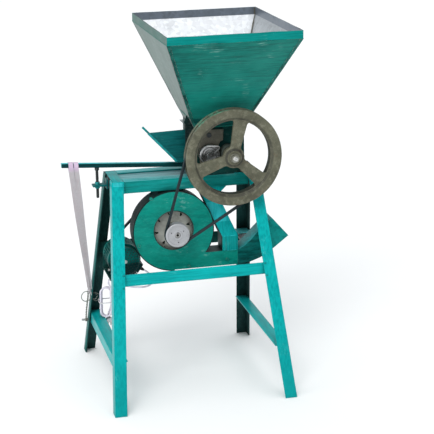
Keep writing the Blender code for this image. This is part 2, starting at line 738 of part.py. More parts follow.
# ---- drop chute and blown outlet ----
tube_shell(
    "drop_chute",
    [
        level_loop(0.0450, 0.1650, -0.0725, 0.0725, 0.7100),
        level_loop(0.0500, 0.1150, -0.0735, -0.0200, 0.6600),
        level_loop(0.0625, 0.1125, -0.0830, -0.0350, 0.6280),
        level_loop(0.0920, 0.1420, -0.0900, -0.0400, 0.5600),
        level_loop(0.1140, 0.1640, -0.0995, -0.0400, 0.5100),
        level_loop(0.1140, 0.1640, -0.0995, -0.0400, DUCT_TOP + GAP),
    ],
    0.002,
    "teal_paint",
)


def upright_loop(low, high, y0=FAN_FRONT):
    y1 = FAN_BACK
    return [(low[0], y0, low[1]), (low[0], y1, low[1]), (high[0], y1, high[1]), (high[0], y0, high[1])]


tube_shell(
    "outlet_duct",
    [
        upright_loop((DUCT_X + GAP, FAN_LOW), (DUCT_X + GAP, DUCT_TOP)),
        upright_loop((0.2060, 0.4125), (0.1860, 0.4690)),
        upright_loop((0.2450, 0.4250), (0.2110, 0.4890), -0.0980),
        upright_loop((0.2870, 0.4506), (0.2370, 0.5165), -0.0970),
        upright_loop((0.3430, 0.4930), (0.2850, 0.5600), -0.0970),
    ],
    0.002,
    "green_paint",
)

# ---- motor ----
motor = turned(
    "motor_body",
    [(0, 0.0900), (0.0100, 0.0900), (0.0100, 0.1180), (0.0500, 0.1180), (0.0560, 0.1080), (0.0560, 0.0100), (0.0480, 0.0060), (0.0480, -0.0090), (0.0420, -0.0150), (0, -0.0150)],
    MOTOR,
    "motor_paint",
    steps=28,
)
SHELF_Z = MOTOR[1] - 0.066
join(motor, box("motor_feet", (MOTOR[0] - 0.043, 0.012, SHELF_Z + GAP), (MOTOR[0] + 0.043, 0.106, MOTOR[1] - 0.036), helper=True))
rod("motor_shaft", 0.0070, 0.0920, 0.1520, MOTOR, "steel", motor_axis, steps=16)
pulley("motor_pulley", 0.0385, MOTOR_PITCH, REAR_BELT_Y, MOTOR, 0.0073, motor_axis, 0.1240, 0.1480, "cast_iron")
shelf = box("motor_bracket", (MOTOR[0] - 0.050, 0.006, SHELF_Z - 0.005), (MOTOR[0] + 0.050, rear_y - 0.0053, SHELF_Z), "teal_paint")
join(shelf, box("bracket_back", (MOTOR[0] - 0.050, rear_y - 0.0103, SHELF_Z - 0.005), (MOTOR[0] + 0.050, rear_y - 0.0053, REAR_Z), helper=True))

# ---- belts ----


def belt_outline(c0, r0, c1, r1, steps=26):
    """The taut loop round two circles, c0 the lower left one."""
    dx, dz = c1[0] - c0[0], c1[1] - c0[1]
    dist = math.hypot(dx, dz)
    base = math.atan2(dz, dx)
    lean = math.acos((r0 - r1) / dist)
    pts = []
    for i in range(steps + 1):
        a = base + lean + i / steps * (2 * math.pi - 2 * lean)
        pts.append((c0[0] + r0 * math.cos(a), c0[1] + r0 * math.sin(a)))
    for i in range(steps + 1):
        a = base - lean + i / steps * (2 * lean)
        pts.append((c1[0] + r1 * math.cos(a), c1[1] + r1 * math.sin(a)))
    return pts


def belt(name, c0, p0, c1, p1, y):
    plate(
        name,
        belt_outline(c0, p0 + 0.0040, c1, p1 + 0.0040),
        [belt_outline(c0, p0 - 0.0042, c1, p1 - 0.0042)],
        y - 0.0048,
        y + 0.0048,
        "black_rubber",
    )


belt("belt_front", FAN, FAN_PITCH, MAIN, WHEEL_PITCH, BELT_Y)
belt("belt_rear", MOTOR, MOTOR_PITCH, FAN, FAN_REAR_PITCH, REAR_BELT_Y)

# ---- feed gate ----
gate = box("feed_gate", (0.0140, -0.0725, 0.8765), (0.1930, 0.0725, 0.8785), "galvanised", gate_axis)
join(gate, box("gate_tab", (0.0125, -0.0150, 0.8765), (0.0145, 0.0150, 0.9000), helper=True))

# ---- start capacitor on its bracket, at the rear right leg ----
cap_c = (0.2460, 0.4330)
rod("capacitor", 0.0175, 0.1080, rear_y - 0.0053, cap_c, "grey_plastic", steps=20)

# ---- mains lead ----
GLAND = Vector((MOTOR[0] + 0.0480, 0.0300, MOTOR[1] - 0.0340))
g_dir = Vector((0.82, 0.0, -0.57)).normalized()
gland = rod("lead_gland", 0.0070, 0.0075, 0.0250, (0, 0), "black_rubber", steps=16)
gland.location = GLAND
gland.rotation_euler = Vector((0, 0, 1)).rotation_difference(g_dir).to_euler()
lead_start = GLAND + g_dir * (0.0250 + GAP)
LEAD = [
    lead_start,
    lead_start + g_dir * 0.012,
    (-0.1090, 0.0280, 0.3550),
    (-0.1070, 0.0160, 0.3390),
    (-0.1180, 0.0010, 0.3290),
    (-0.1400, -0.0060, 0.3265),
    (-0.1680, 0.0040, 0.3250),
    (-0.1960, 0.0380, 0.3220),
    (-0.2200, 0.0880, 0.3180),
    (-0.2330, 0.1380, 0.3170),
    (-0.2370, 0.1620, 0.3090),
    (-0.2350, 0.1680, 0.2960),
    (-0.2345, 0.1680, 0.2810 + GAP),
]
wire("lead_tube", smooth_path(LEAD, 62), CORD_R, "white_cable", 2)
# a hank of 105 mm runs, hung upright in the rear left leg
HX, HY, HZ0, HZ1 = -0.2400, 0.1785, 0.1690, 0.2810


def stadium(cx, z0, z1, r, steps=8):
    pts = []
    for i in range(steps + 1):
        a = math.pi * i / steps
        pts.append((cx + r * math.cos(a), z1 - r + r * math.sin(a)))
    for i in range(steps + 1):
        a = math.pi + math.pi * i / steps
        pts.append((cx + r * math.cos(a), z0 + r + r * math.sin(a)))
    return pts


plate("lead_hank", stadium(HX, HZ0, HZ1, 0.0215), [], HY - 0.0195, HY + 0.0195, "white_cable")
box("plug", (-0.2470, 0.1710, 0.1300), (-0.2150, 0.1990, 0.1690 - GAP), "grey_plastic")
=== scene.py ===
"""Visual model of a twin-roll grain huller on an angle-iron stand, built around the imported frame.

Helpers work in the machine's own coordinates (M): x is counted from the middle of the stand, and the row frame
is M moved by SHIFT along X.
"""

import json
import math
import random

import bmesh
import bpy
from mathutils import Matrix, Vector, noise


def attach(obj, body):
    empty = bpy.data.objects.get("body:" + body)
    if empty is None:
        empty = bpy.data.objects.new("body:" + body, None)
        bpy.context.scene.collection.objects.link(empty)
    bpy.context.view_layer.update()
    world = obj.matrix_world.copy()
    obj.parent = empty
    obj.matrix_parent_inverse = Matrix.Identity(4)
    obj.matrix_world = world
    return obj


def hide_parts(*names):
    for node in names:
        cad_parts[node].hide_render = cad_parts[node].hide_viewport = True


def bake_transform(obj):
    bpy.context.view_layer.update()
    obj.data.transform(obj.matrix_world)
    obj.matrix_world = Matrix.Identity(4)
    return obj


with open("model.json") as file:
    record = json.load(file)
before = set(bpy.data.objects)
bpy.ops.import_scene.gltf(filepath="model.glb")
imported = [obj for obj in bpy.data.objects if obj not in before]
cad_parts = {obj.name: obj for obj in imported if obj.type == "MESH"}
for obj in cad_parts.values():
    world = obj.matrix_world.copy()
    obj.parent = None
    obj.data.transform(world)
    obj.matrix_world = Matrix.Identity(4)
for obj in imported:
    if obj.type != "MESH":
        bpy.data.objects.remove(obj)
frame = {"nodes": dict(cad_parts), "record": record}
NODES, RECORD = frame["nodes"], frame["record"]
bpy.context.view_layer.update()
scene = bpy.context.scene
rng = random.Random(7)

SHIFT = 0.0290
GAP = 0.0003
MAIN, ROLL, PIVOT = (0.140, 0.793), (0.074, 0.793), (0.0755, 0.856)
FAN, MOTOR = (-0.052, 0.546), (-0.201, 0.424)
BELT_Y, REAR_BELT_Y = -0.150, 0.136
FAN_PITCH, WHEEL_PITCH, MOTOR_PITCH, FAN_REAR_PITCH = 0.038, 0.152, 0.035, 0.055

# ------------------------------------------------------------------ camera, light, floor
CAM = Vector((-1.01284 + SHIFT, -4.60364, 1.92076))
YAW, PITCH, CAM_ROLL, FOCAL_PX = 0.24128, -0.2816, -0.0159, 1457.236
forward = Vector((math.sin(YAW) * math.cos(PITCH), math.cos(YAW) * math.cos(PITCH), math.sin(PITCH)))
right = Vector((math.cos(YAW), -math.sin(YAW), 0.0))
up = right.cross(forward)
right2 = math.cos(CAM_ROLL) * right + math.sin(CAM_ROLL) * up
up2 = -math.sin(CAM_ROLL) * right + math.cos(CAM_ROLL) * up
camera_data = bpy.data.cameras.new("camera")
camera_data.sensor_width = 36.0
camera_data.lens = FOCAL_PX / 434.0 * 36.0
camera_data.clip_start, camera_data.clip_end = 0.05, 200.0
camera = bpy.data.objects.new("camera", camera_data)
scene.collection.objects.link(camera)
basis = Matrix((right2, up2, -forward)).transposed().to_4x4()
basis.translation = CAM
camera.matrix_world = basis
scene.camera = camera
scene.view_settings.view_transform = "Standard"
scene.view_settings.look = "None"
scene.view_settings.exposure = 0.0
scene.view_settings.gamma = 1.0

world = bpy.data.worlds.new("studio")
scene.world = world
world.use_nodes = True
world.node_tree.nodes["Background"].inputs["Color"].default_value = (0.93, 0.97, 1.0, 1.0)
world.node_tree.nodes["Background"].inputs["Strength"].default_value = 0.60


def area_light(name, place, target, size, power, colour=(1, 1, 1)):
    data = bpy.data.lights.new(name, "AREA")
    data.shape, data.size, data.size_y = "RECTANGLE", size[0], size[1]
    data.energy, data.color = power, colour
    obj = bpy.data.objects.new(name, data)
    obj.location = place
    obj.rotation_mode = "QUATERNION"
    obj.rotation_quaternion = (Vector(target) - Vector(place)).to_track_quat("-Z", "Y")
    scene.collection.objects.link(obj)




def sun_light(name, toward, strength, degrees, colour=(1, 1, 1)):
    """toward is the direction that the light travels in."""
    data = bpy.data.lights.new(name, "SUN")
    data.energy, data.angle, data.color = strength, math.radians(degrees), colour
    obj = bpy.data.objects.new(name, data)
    obj.rotation_mode = "QUATERNION"
    obj.rotation_quaternion = Vector(toward).to_track_quat("-Z", "Y")
    obj.location = (0, 0, 4)
    scene.collection.objects.link(obj)


sun_light("key", (0.55, 0.95, -1.05), 1.30, 32, (1.0, 0.99, 0.97))
sun_light("top", (-0.12, 0.20, -1.0), 0.75, 60)
sun_light("back", (0.25, -0.9, -0.8), 0.35, 50)
area_light("left_card", (-3.2, -1.6, 1.1), (0.0, 0.0, 0.7), (2.4, 2.0), 30)


# ------------------------------------------------------------------ material nodes
class Nodes:
    """A short way of writing a node material."""

    def __init__(self, name):
        self.material = bpy.data.materials.new(name)
        self.material.use_nodes = True
        self.tree = self.material.node_tree
        self.bsdf = self.tree.nodes["Principled BSDF"]

    def add(self, kind, inputs=None, **settings):
        node = self.tree.nodes.new(kind)
        for key, value in settings.items():
            setattr(node, key, value)
        for key, value in (inputs or {}).items():
            self.put(node.inputs[key], value)
        return node

    def put(self, socket, value):
        if isinstance(value, bpy.types.NodeSocket):
            self.tree.links.new(value, socket)
        elif isinstance(value, (int, float)):
            socket.default_value = value
        elif len(value) == 3 and socket.type == "RGBA":
            socket.default_value = (*value, 1.0)
        else:
            socket.default_value = value

    def coords(self):
        if not hasattr(self, "_coords"):
            self._coords = self.add("ShaderNodeTexCoord").outputs["Object"]
        return self._coords

    def mapped(self, scale, rotation=(0, 0, 0), offset=(0, 0, 0)):
        return self.add(
            "ShaderNodeMapping", {"Vector": self.coords(), "Scale": scale, "Rotation": rotation, "Location": offset}
        ).outputs["Vector"]

    def noise(self, scale, detail=3.0, rough=0.55, vector=None, distortion=0.0):
        return self.add(
            "ShaderNodeTexNoise",
            {"Vector": vector or self.coords(), "Scale": scale, "Detail": detail, "Roughness": rough, "Distortion": distortion},
        ).outputs["Fac"]

    def voronoi(self, scale, vector=None, feature="F1", output="Distance"):
        return self.add("ShaderNodeTexVoronoi", {"Vector": vector or self.coords(), "Scale": scale}, feature=feature).outputs[output]

    def ramp(self, value, low, high, a=0.0, b=1.0):
        return self.add(
            "ShaderNodeMapRange",
            {"Value": value, "From Min": low, "From Max": high, "To Min": a, "To Max": b},
            interpolation_type="SMOOTHSTEP",
        ).outputs["Result"]

    def math(self, op, a, b=0.0, c=None, clamp=False):
        node = self.add("ShaderNodeMath", operation=op, use_clamp=clamp)
        self.put(node.inputs[0], a)
        self.put(node.inputs[1], b)
        if c is not None:
            self.put(node.inputs[2], c)
        return node.outputs[0]

    def mix(self, factor, a, b, blend="MIX"):
        node = self.add("ShaderNodeMix", data_type="RGBA", blend_type=blend)
        self.put(node.inputs[0], factor)
        self.put(node.inputs[6], a)
        self.put(node.inputs[7], b)
        return node.outputs[2]

    def axis(self, index):
        if not hasattr(self, "_xyz"):
            self._xyz = self.add("ShaderNodeSeparateXYZ", {"Vector": self.coords()})
        return self._xyz.outputs[index]

    def edge(self, radius, low=0.02, high=0.25):
        """1 near a sharp edge, 0 on a flat: how far a rounded normal turns from the surface's own."""
        if not hasattr(self, "_geometry"):
            self._geometry = self.add("ShaderNodeNewGeometry")
        rounded = self.add("ShaderNodeBevel", {"Radius": radius}, samples=4).outputs["Normal"]
        dot = self.add("ShaderNodeVectorMath", {0: rounded, 1: self._geometry.outputs["Normal"]}, operation="DOT_PRODUCT")
        return self.ramp(self.math("SUBTRACT", 1.0, dot.outputs["Value"]), low, high)

    def crevice(self, distance, low=0.35, high=0.95):
        """1 in a corner, 0 in the open: an ambient-occlusion mask, which the materials use to paint shade into corners.
        """
        open_share = self.add("ShaderNodeAmbientOcclusion", {"Distance": distance}, samples=6).outputs["AO"]
        return self.math("SUBTRACT", 1.0, self.ramp(open_share, low, high))

    def finish(self, colour, roughness, height=None, distance=0.0004, strength=1.0, **constants):
        self.put(self.bsdf.inputs["Base Color"], colour)
        self.put(self.bsdf.inputs["Roughness"], roughness)
        for key, value in constants.items():
            self.put(self.bsdf.inputs[key.replace("_", " ")], value)
        if height is not None:
            bump = self.add("ShaderNodeBump", {"Height": height, "Distance": distance, "Strength": strength})
            self.put(self.bsdf.inputs["Normal"], bump.outputs["Normal"])
        return self.material


def paint(name, base, dark, light, brush=(14, 14, 260), gloss=0.34, wear=0.6, dust_and_shade_amount=0.55, scuff=0.35, bare=(0.30, 0.33, 0.31), low_z=None, sheen=(0.18, 0.95, 0.95, 1.0)):
    """Brushed enamel on steel: streaks along the brush, blotches, scuffs, chipped edges, and dust with painted shade in
    the corners.
    """
    n = Nodes(name)
    streak = n.noise(1.0, 5.0, 0.62, n.mapped(brush))
    wide = n.noise(7.5, 3.0, 0.5)
    fine = n.noise(1.0, 3.0, 0.6, n.mapped(tuple(3.2 * b for b in brush), offset=(3, 1, 2)))
    colour = n.mix(n.ramp(streak, 0.36, 0.60), dark, base)
    colour = n.mix(n.math("MULTIPLY", n.ramp(fine, 0.50, 0.72), 0.42), colour, light)
    colour = n.mix(n.math("MULTIPLY", n.ramp(wide, 0.44, 0.74), 0.34), colour, light)
    colour = n.mix(n.math("MULTIPLY", n.ramp(wide, 0.52, 0.26), 0.35), colour, dark)
    # dry scuffs where something rubbed along the brush marks
    rub = n.math(
        "MULTIPLY",
        n.ramp(n.noise(16.0, 2.0, 0.5, n.mapped((1, 1, 1), offset=(5, 2, 7))), 0.58, 0.72),
        n.ramp(n.noise(1.0, 6.0, 0.7, n.mapped(tuple(1.6 * b for b in brush), offset=(8, 9, 4))), 0.50, 0.66),
    )
    colour = n.mix(n.math("MULTIPLY", rub, scuff), colour, tuple(min(1.0, c + 0.20) for c in light))
    # small pits and chips
    chip = n.math("MULTIPLY", n.ramp(n.voronoi(210.0), 0.14, 0.07), n.ramp(n.noise(23.0, 3.0), 0.56, 0.66))
    colour = n.mix(n.math("MULTIPLY", chip, 0.7), colour, bare)
    worn = n.math("MULTIPLY", n.edge(0.0016), n.ramp(n.noise(55.0, 5.0, 0.65), 0.42, 0.62), clamp=True)
    colour = n.mix(n.math("MULTIPLY", worn, wear), colour, bare)
    # dust and painted shade: an ambient-occlusion mask, broken up by noise, darkens the paint in corners
    dust_and_corner_shade = n.math("MULTIPLY", n.crevice(0.030), n.ramp(n.noise(30.0, 4.0, 0.6), 0.25, 0.75, 0.45, 1.0))
    colour = n.mix(n.math("MULTIPLY", dust_and_corner_shade, dust_and_shade_amount), colour, tuple(0.22 * c + 0.004 for c in dark), "MIX")
    if low_z is not None:  # mixed towards another colour below a given height: darker towards the floor on the legs, lighter lower down on the hopper, and painted shade on the motor's lower half
        colour = n.mix(
            n.math("MULTIPLY", n.ramp(n.axis(2), low_z[1], low_z[0]), n.ramp(n.noise(18.0, 4.0, 0.6), 0.3, 0.7, low_z[2] * 0.45, low_z[2])),
            colour,
            low_z[3],
        )
    rough = n.math("ADD", n.ramp(streak, 0.3, 0.7, gloss, gloss + 0.12), n.math("MULTIPLY", dust_and_corner_shade, 0.25))
    rough = n.math("ADD", rough, n.math("MULTIPLY", n.math("MAXIMUM", worn, chip), 0.15), clamp=True)
    height = n.math("ADD", n.math("MULTIPLY", streak, 0.9), n.math("MULTIPLY", n.noise(340.0, 2.0), 0.35))
    height = n.math("SUBTRACT", height, n.math("MULTIPLY", n.math("MAXIMUM", worn, chip), 0.35))
    return n.finish(colour, rough, height, 0.00042, 0.55, Specular_IOR_Level=0.26, Specular_Tint=sheen, Coat_Weight=0.01, Coat_Roughness=0.15)


def cast_iron(name, base, dark, light, overspray=None, spots=None):
    """Sand casting: coarse grain, thin drab paint, some overspray and rubbed high edges."""
    n = Nodes(name)
    grain = n.noise(420.0, 4.0, 0.65)
    lumps = n.noise(60.0, 4.0, 0.6)
    wide = n.noise(14.0, 4.0, 0.6)
    colour = n.mix(n.ramp(wide, 0.30, 0.70), dark, base)
    colour = n.mix(n.math("MULTIPLY", n.ramp(lumps, 0.45, 0.70), 0.70), colour, light)
    colour = n.mix(n.math("MULTIPLY", n.ramp(grain, 0.40, 0.60), 0.45), colour, dark)
    rubbed = n.math("MULTIPLY", n.edge(0.0022), n.ramp(n.noise(70.0, 4.0), 0.35, 0.6), clamp=True)
    colour = n.mix(n.math("MULTIPLY", rubbed, 0.55), colour, tuple(min(1.0, 1.9 * c + 0.03) for c in light))
    rust = n.math("MULTIPLY", n.ramp(n.noise(33.0, 5.0, 0.7, n.mapped((1, 1, 1), offset=(2, 7, 1))), 0.60, 0.74), 0.5)
    colour = n.mix(rust, colour, (0.12, 0.062, 0.026))
    if overspray:  # green drift on the rim's upper left, where the frame was painted round it
        where, green = overspray
        dx = n.math("SUBTRACT", n.axis(0), where[0])
        dz = n.math("SUBTRACT", n.axis(2), where[1])
        far = n.math("SQRT", n.math("ADD", n.math("MULTIPLY", dx, dx), n.math("MULTIPLY", dz, dz)))
        mask = n.math("MULTIPLY", n.ramp(far, where[2], 0.02), n.ramp(n.noise(48.0, 6.0, 0.75), 0.44, 0.58))
        colour = n.mix(n.math("MULTIPLY", mask, 0.75), colour, green)
    # painted shade: an ambient-occlusion mask darkens the corners to near black
    dust_and_corner_shade = n.crevice(0.020)
    colour = n.mix(n.math("MULTIPLY", dust_and_corner_shade, 0.55), colour, (0.018, 0.018, 0.012))
    rough = n.ramp(grain, 0.3, 0.7, 0.52, 0.72)
    height = n.math("ADD", n.math("MULTIPLY", grain, 0.8), n.math("MULTIPLY", lumps, 1.2))
    return n.finish(colour, rough, height, 0.0007, 0.6, Specular_IOR_Level=0.45)


def galvanised(name, tint=(0.62, 0.65, 0.67), dirt=0.45, rough=0.34, stain=(0.10, 0.11, 0.10), metallic=0.85, green=None):
    """Zinc sheet: spangle, drawn scratches and grey stains."""
    n = Nodes(name)
    spangle = n.add("ShaderNodeTexVoronoi", {"Vector": n.mapped((1, 1, 1)), "Scale": 85.0}).outputs["Color"]
    cell = n.add("ShaderNodeSeparateColor", {"Color": spangle}).outputs[0]
    cloud = n.noise(11.0, 5.0, 0.65)
    colour = n.mix(cell, tuple(0.86 * c for c in tint), tuple(min(1.0, 1.12 * c) for c in tint))
    stained = n.math("MULTIPLY", n.ramp(cloud, 0.50, 0.72), n.ramp(n.noise(64.0, 5.0, 0.7), 0.38, 0.62))
    colour = n.mix(n.math("MULTIPLY", stained, dirt), colour, stain)
    scratch = n.ramp(n.noise(1.0, 2.0, 0.5, n.mapped((20, 700, 20), rotation=(0.3, 0.2, 0.5))), 0.62, 0.72)
    colour = n.mix(n.math("MULTIPLY", scratch, 0.30), colour, tuple(min(1.0, 1.3 * c) for c in tint))
    if green:
        colour = n.mix(n.math("MULTIPLY", n.ramp(n.noise(26.0, 6.0, 0.7), 0.58, 0.66), green[0]), colour, green[1])
    # painted shade with the grey stain colour: an ambient-occlusion mask darkens the corners
    dust_and_corner_shade = n.crevice(0.030)
    colour = n.mix(n.math("MULTIPLY", dust_and_corner_shade, 0.5), colour, stain)
    r = n.math("ADD", n.ramp(cell, 0.0, 1.0, rough - 0.06, rough + 0.08), n.math("MULTIPLY", stained, 0.25), clamp=True)
    height = n.math("ADD", n.math("MULTIPLY", cell, 0.25), n.math("MULTIPLY", scratch, -0.4))
    return n.finish(colour, r, height, 0.0002, 0.5, Metallic=metallic)


def bright_metal(name, tint, rough, metallic=1.0, turned=True, oil_and_corner_shade=0.4, centre=None):
    """Turned or drawn metal: fine circular or lengthways lines, finger marks, and oil with painted shade in the
    corners.
    """
    n = Nodes(name)
    if centre:
        dx = n.math("SUBTRACT", n.axis(0), centre[0] + SHIFT)
        dz = n.math("SUBTRACT", n.axis(2), centre[1])
        radius = n.math("SQRT", n.math("ADD", n.math("MULTIPLY", dx, dx), n.math("MULTIPLY", dz, dz)))
        vector = n.add("ShaderNodeCombineXYZ", {"X": radius, "Y": n.axis(1), "Z": 0.0}).outputs[0]
        lines = n.noise(1.0, 3.0, 0.6, n.add("ShaderNodeMapping", {"Vector": vector, "Scale": (2400, 2400, 1)}).outputs[0])
    else:
        lines = n.noise(1.0, 3.0, 0.6, n.mapped((900, 60, 900)))
    smear = n.noise(38.0, 5.0, 0.65)
    colour = n.mix(n.ramp(lines, 0.35, 0.65), tuple(0.82 * c for c in tint), tint)
    colour = n.mix(n.math("MULTIPLY", n.ramp(smear, 0.55, 0.75), 0.35), colour, tuple(0.45 * c for c in tint))
    # oil and painted shade: an ambient-occlusion mask darkens the corners
    dust_and_corner_shade = n.crevice(0.012)
    colour = n.mix(n.math("MULTIPLY", dust_and_corner_shade, oil_and_corner_shade), colour, (0.020, 0.018, 0.012))
    nick = n.math("MULTIPLY", n.edge(0.0008), 0.4)
    colour = n.mix(nick, colour, tuple(min(1.0, 1.25 * c) for c in tint))
    r = n.math("ADD", n.ramp(smear, 0.3, 0.75, rough, rough + 0.16), n.math("MULTIPLY", dust_and_corner_shade, 0.2), clamp=True)
    return n.finish(colour, r, lines, 0.00006, 0.5, Metallic=metallic)


def rubber(name, base, dust_colour=(0.10, 0.10, 0.105), rough=0.62, dust_share=0.4, weave=0.0):
    n = Nodes(name)
    wide = n.noise(32.0, 5.0, 0.65)
    fine = n.noise(600.0, 3.0, 0.6)
    colour = n.mix(n.ramp(fine, 0.35, 0.65), tuple(0.75 * c for c in base), tuple(1.25 * c for c in base))
    colour = n.mix(n.math("MULTIPLY", n.ramp(wide, 0.48, 0.72), dust_share), colour, dust_colour)
    rubbed = n.math("MULTIPLY", n.edge(0.0010), 0.5)
    colour = n.mix(rubbed, colour, dust_colour)
    height = n.math("ADD", fine, n.math("MULTIPLY", wide, 0.4))
    return n.finish(colour, n.ramp(wide, 0.3, 0.7, rough - 0.08, rough + 0.12), height, 0.0002, 0.5, Specular_IOR_Level=0.4)


def plastic(name, base, rough=0.38, dirty=(0.22, 0.21, 0.18), share=0.35, subsurface=0.0):
    n = Nodes(name)
    wide = n.noise(45.0, 4.0, 0.6)
    fine = n.noise(520.0, 3.0, 0.55)
    colour = n.mix(n.ramp(fine, 0.35, 0.65), tuple(0.93 * c for c in base), tuple(min(1.0, 1.05 * c) for c in base))
    colour = n.mix(n.math("MULTIPLY", n.ramp(wide, 0.48, 0.74), share), colour, dirty)
    # painted shade: an ambient-occlusion mask darkens the corners
    dust_and_corner_shade = n.crevice(0.010)
    colour = n.mix(n.math("MULTIPLY", dust_and_corner_shade, 0.4), colour, tuple(0.5 * c for c in dirty))
    extra = {}
    if subsurface:
        extra = {"Subsurface_Weight": subsurface, "Subsurface_Radius": (0.004, 0.0025, 0.0025), "Subsurface_Scale": 1.0}
    return n.finish(colour, n.ramp(wide, 0.3, 0.7, rough, rough + 0.18), fine, 0.00012, 0.45, **extra)


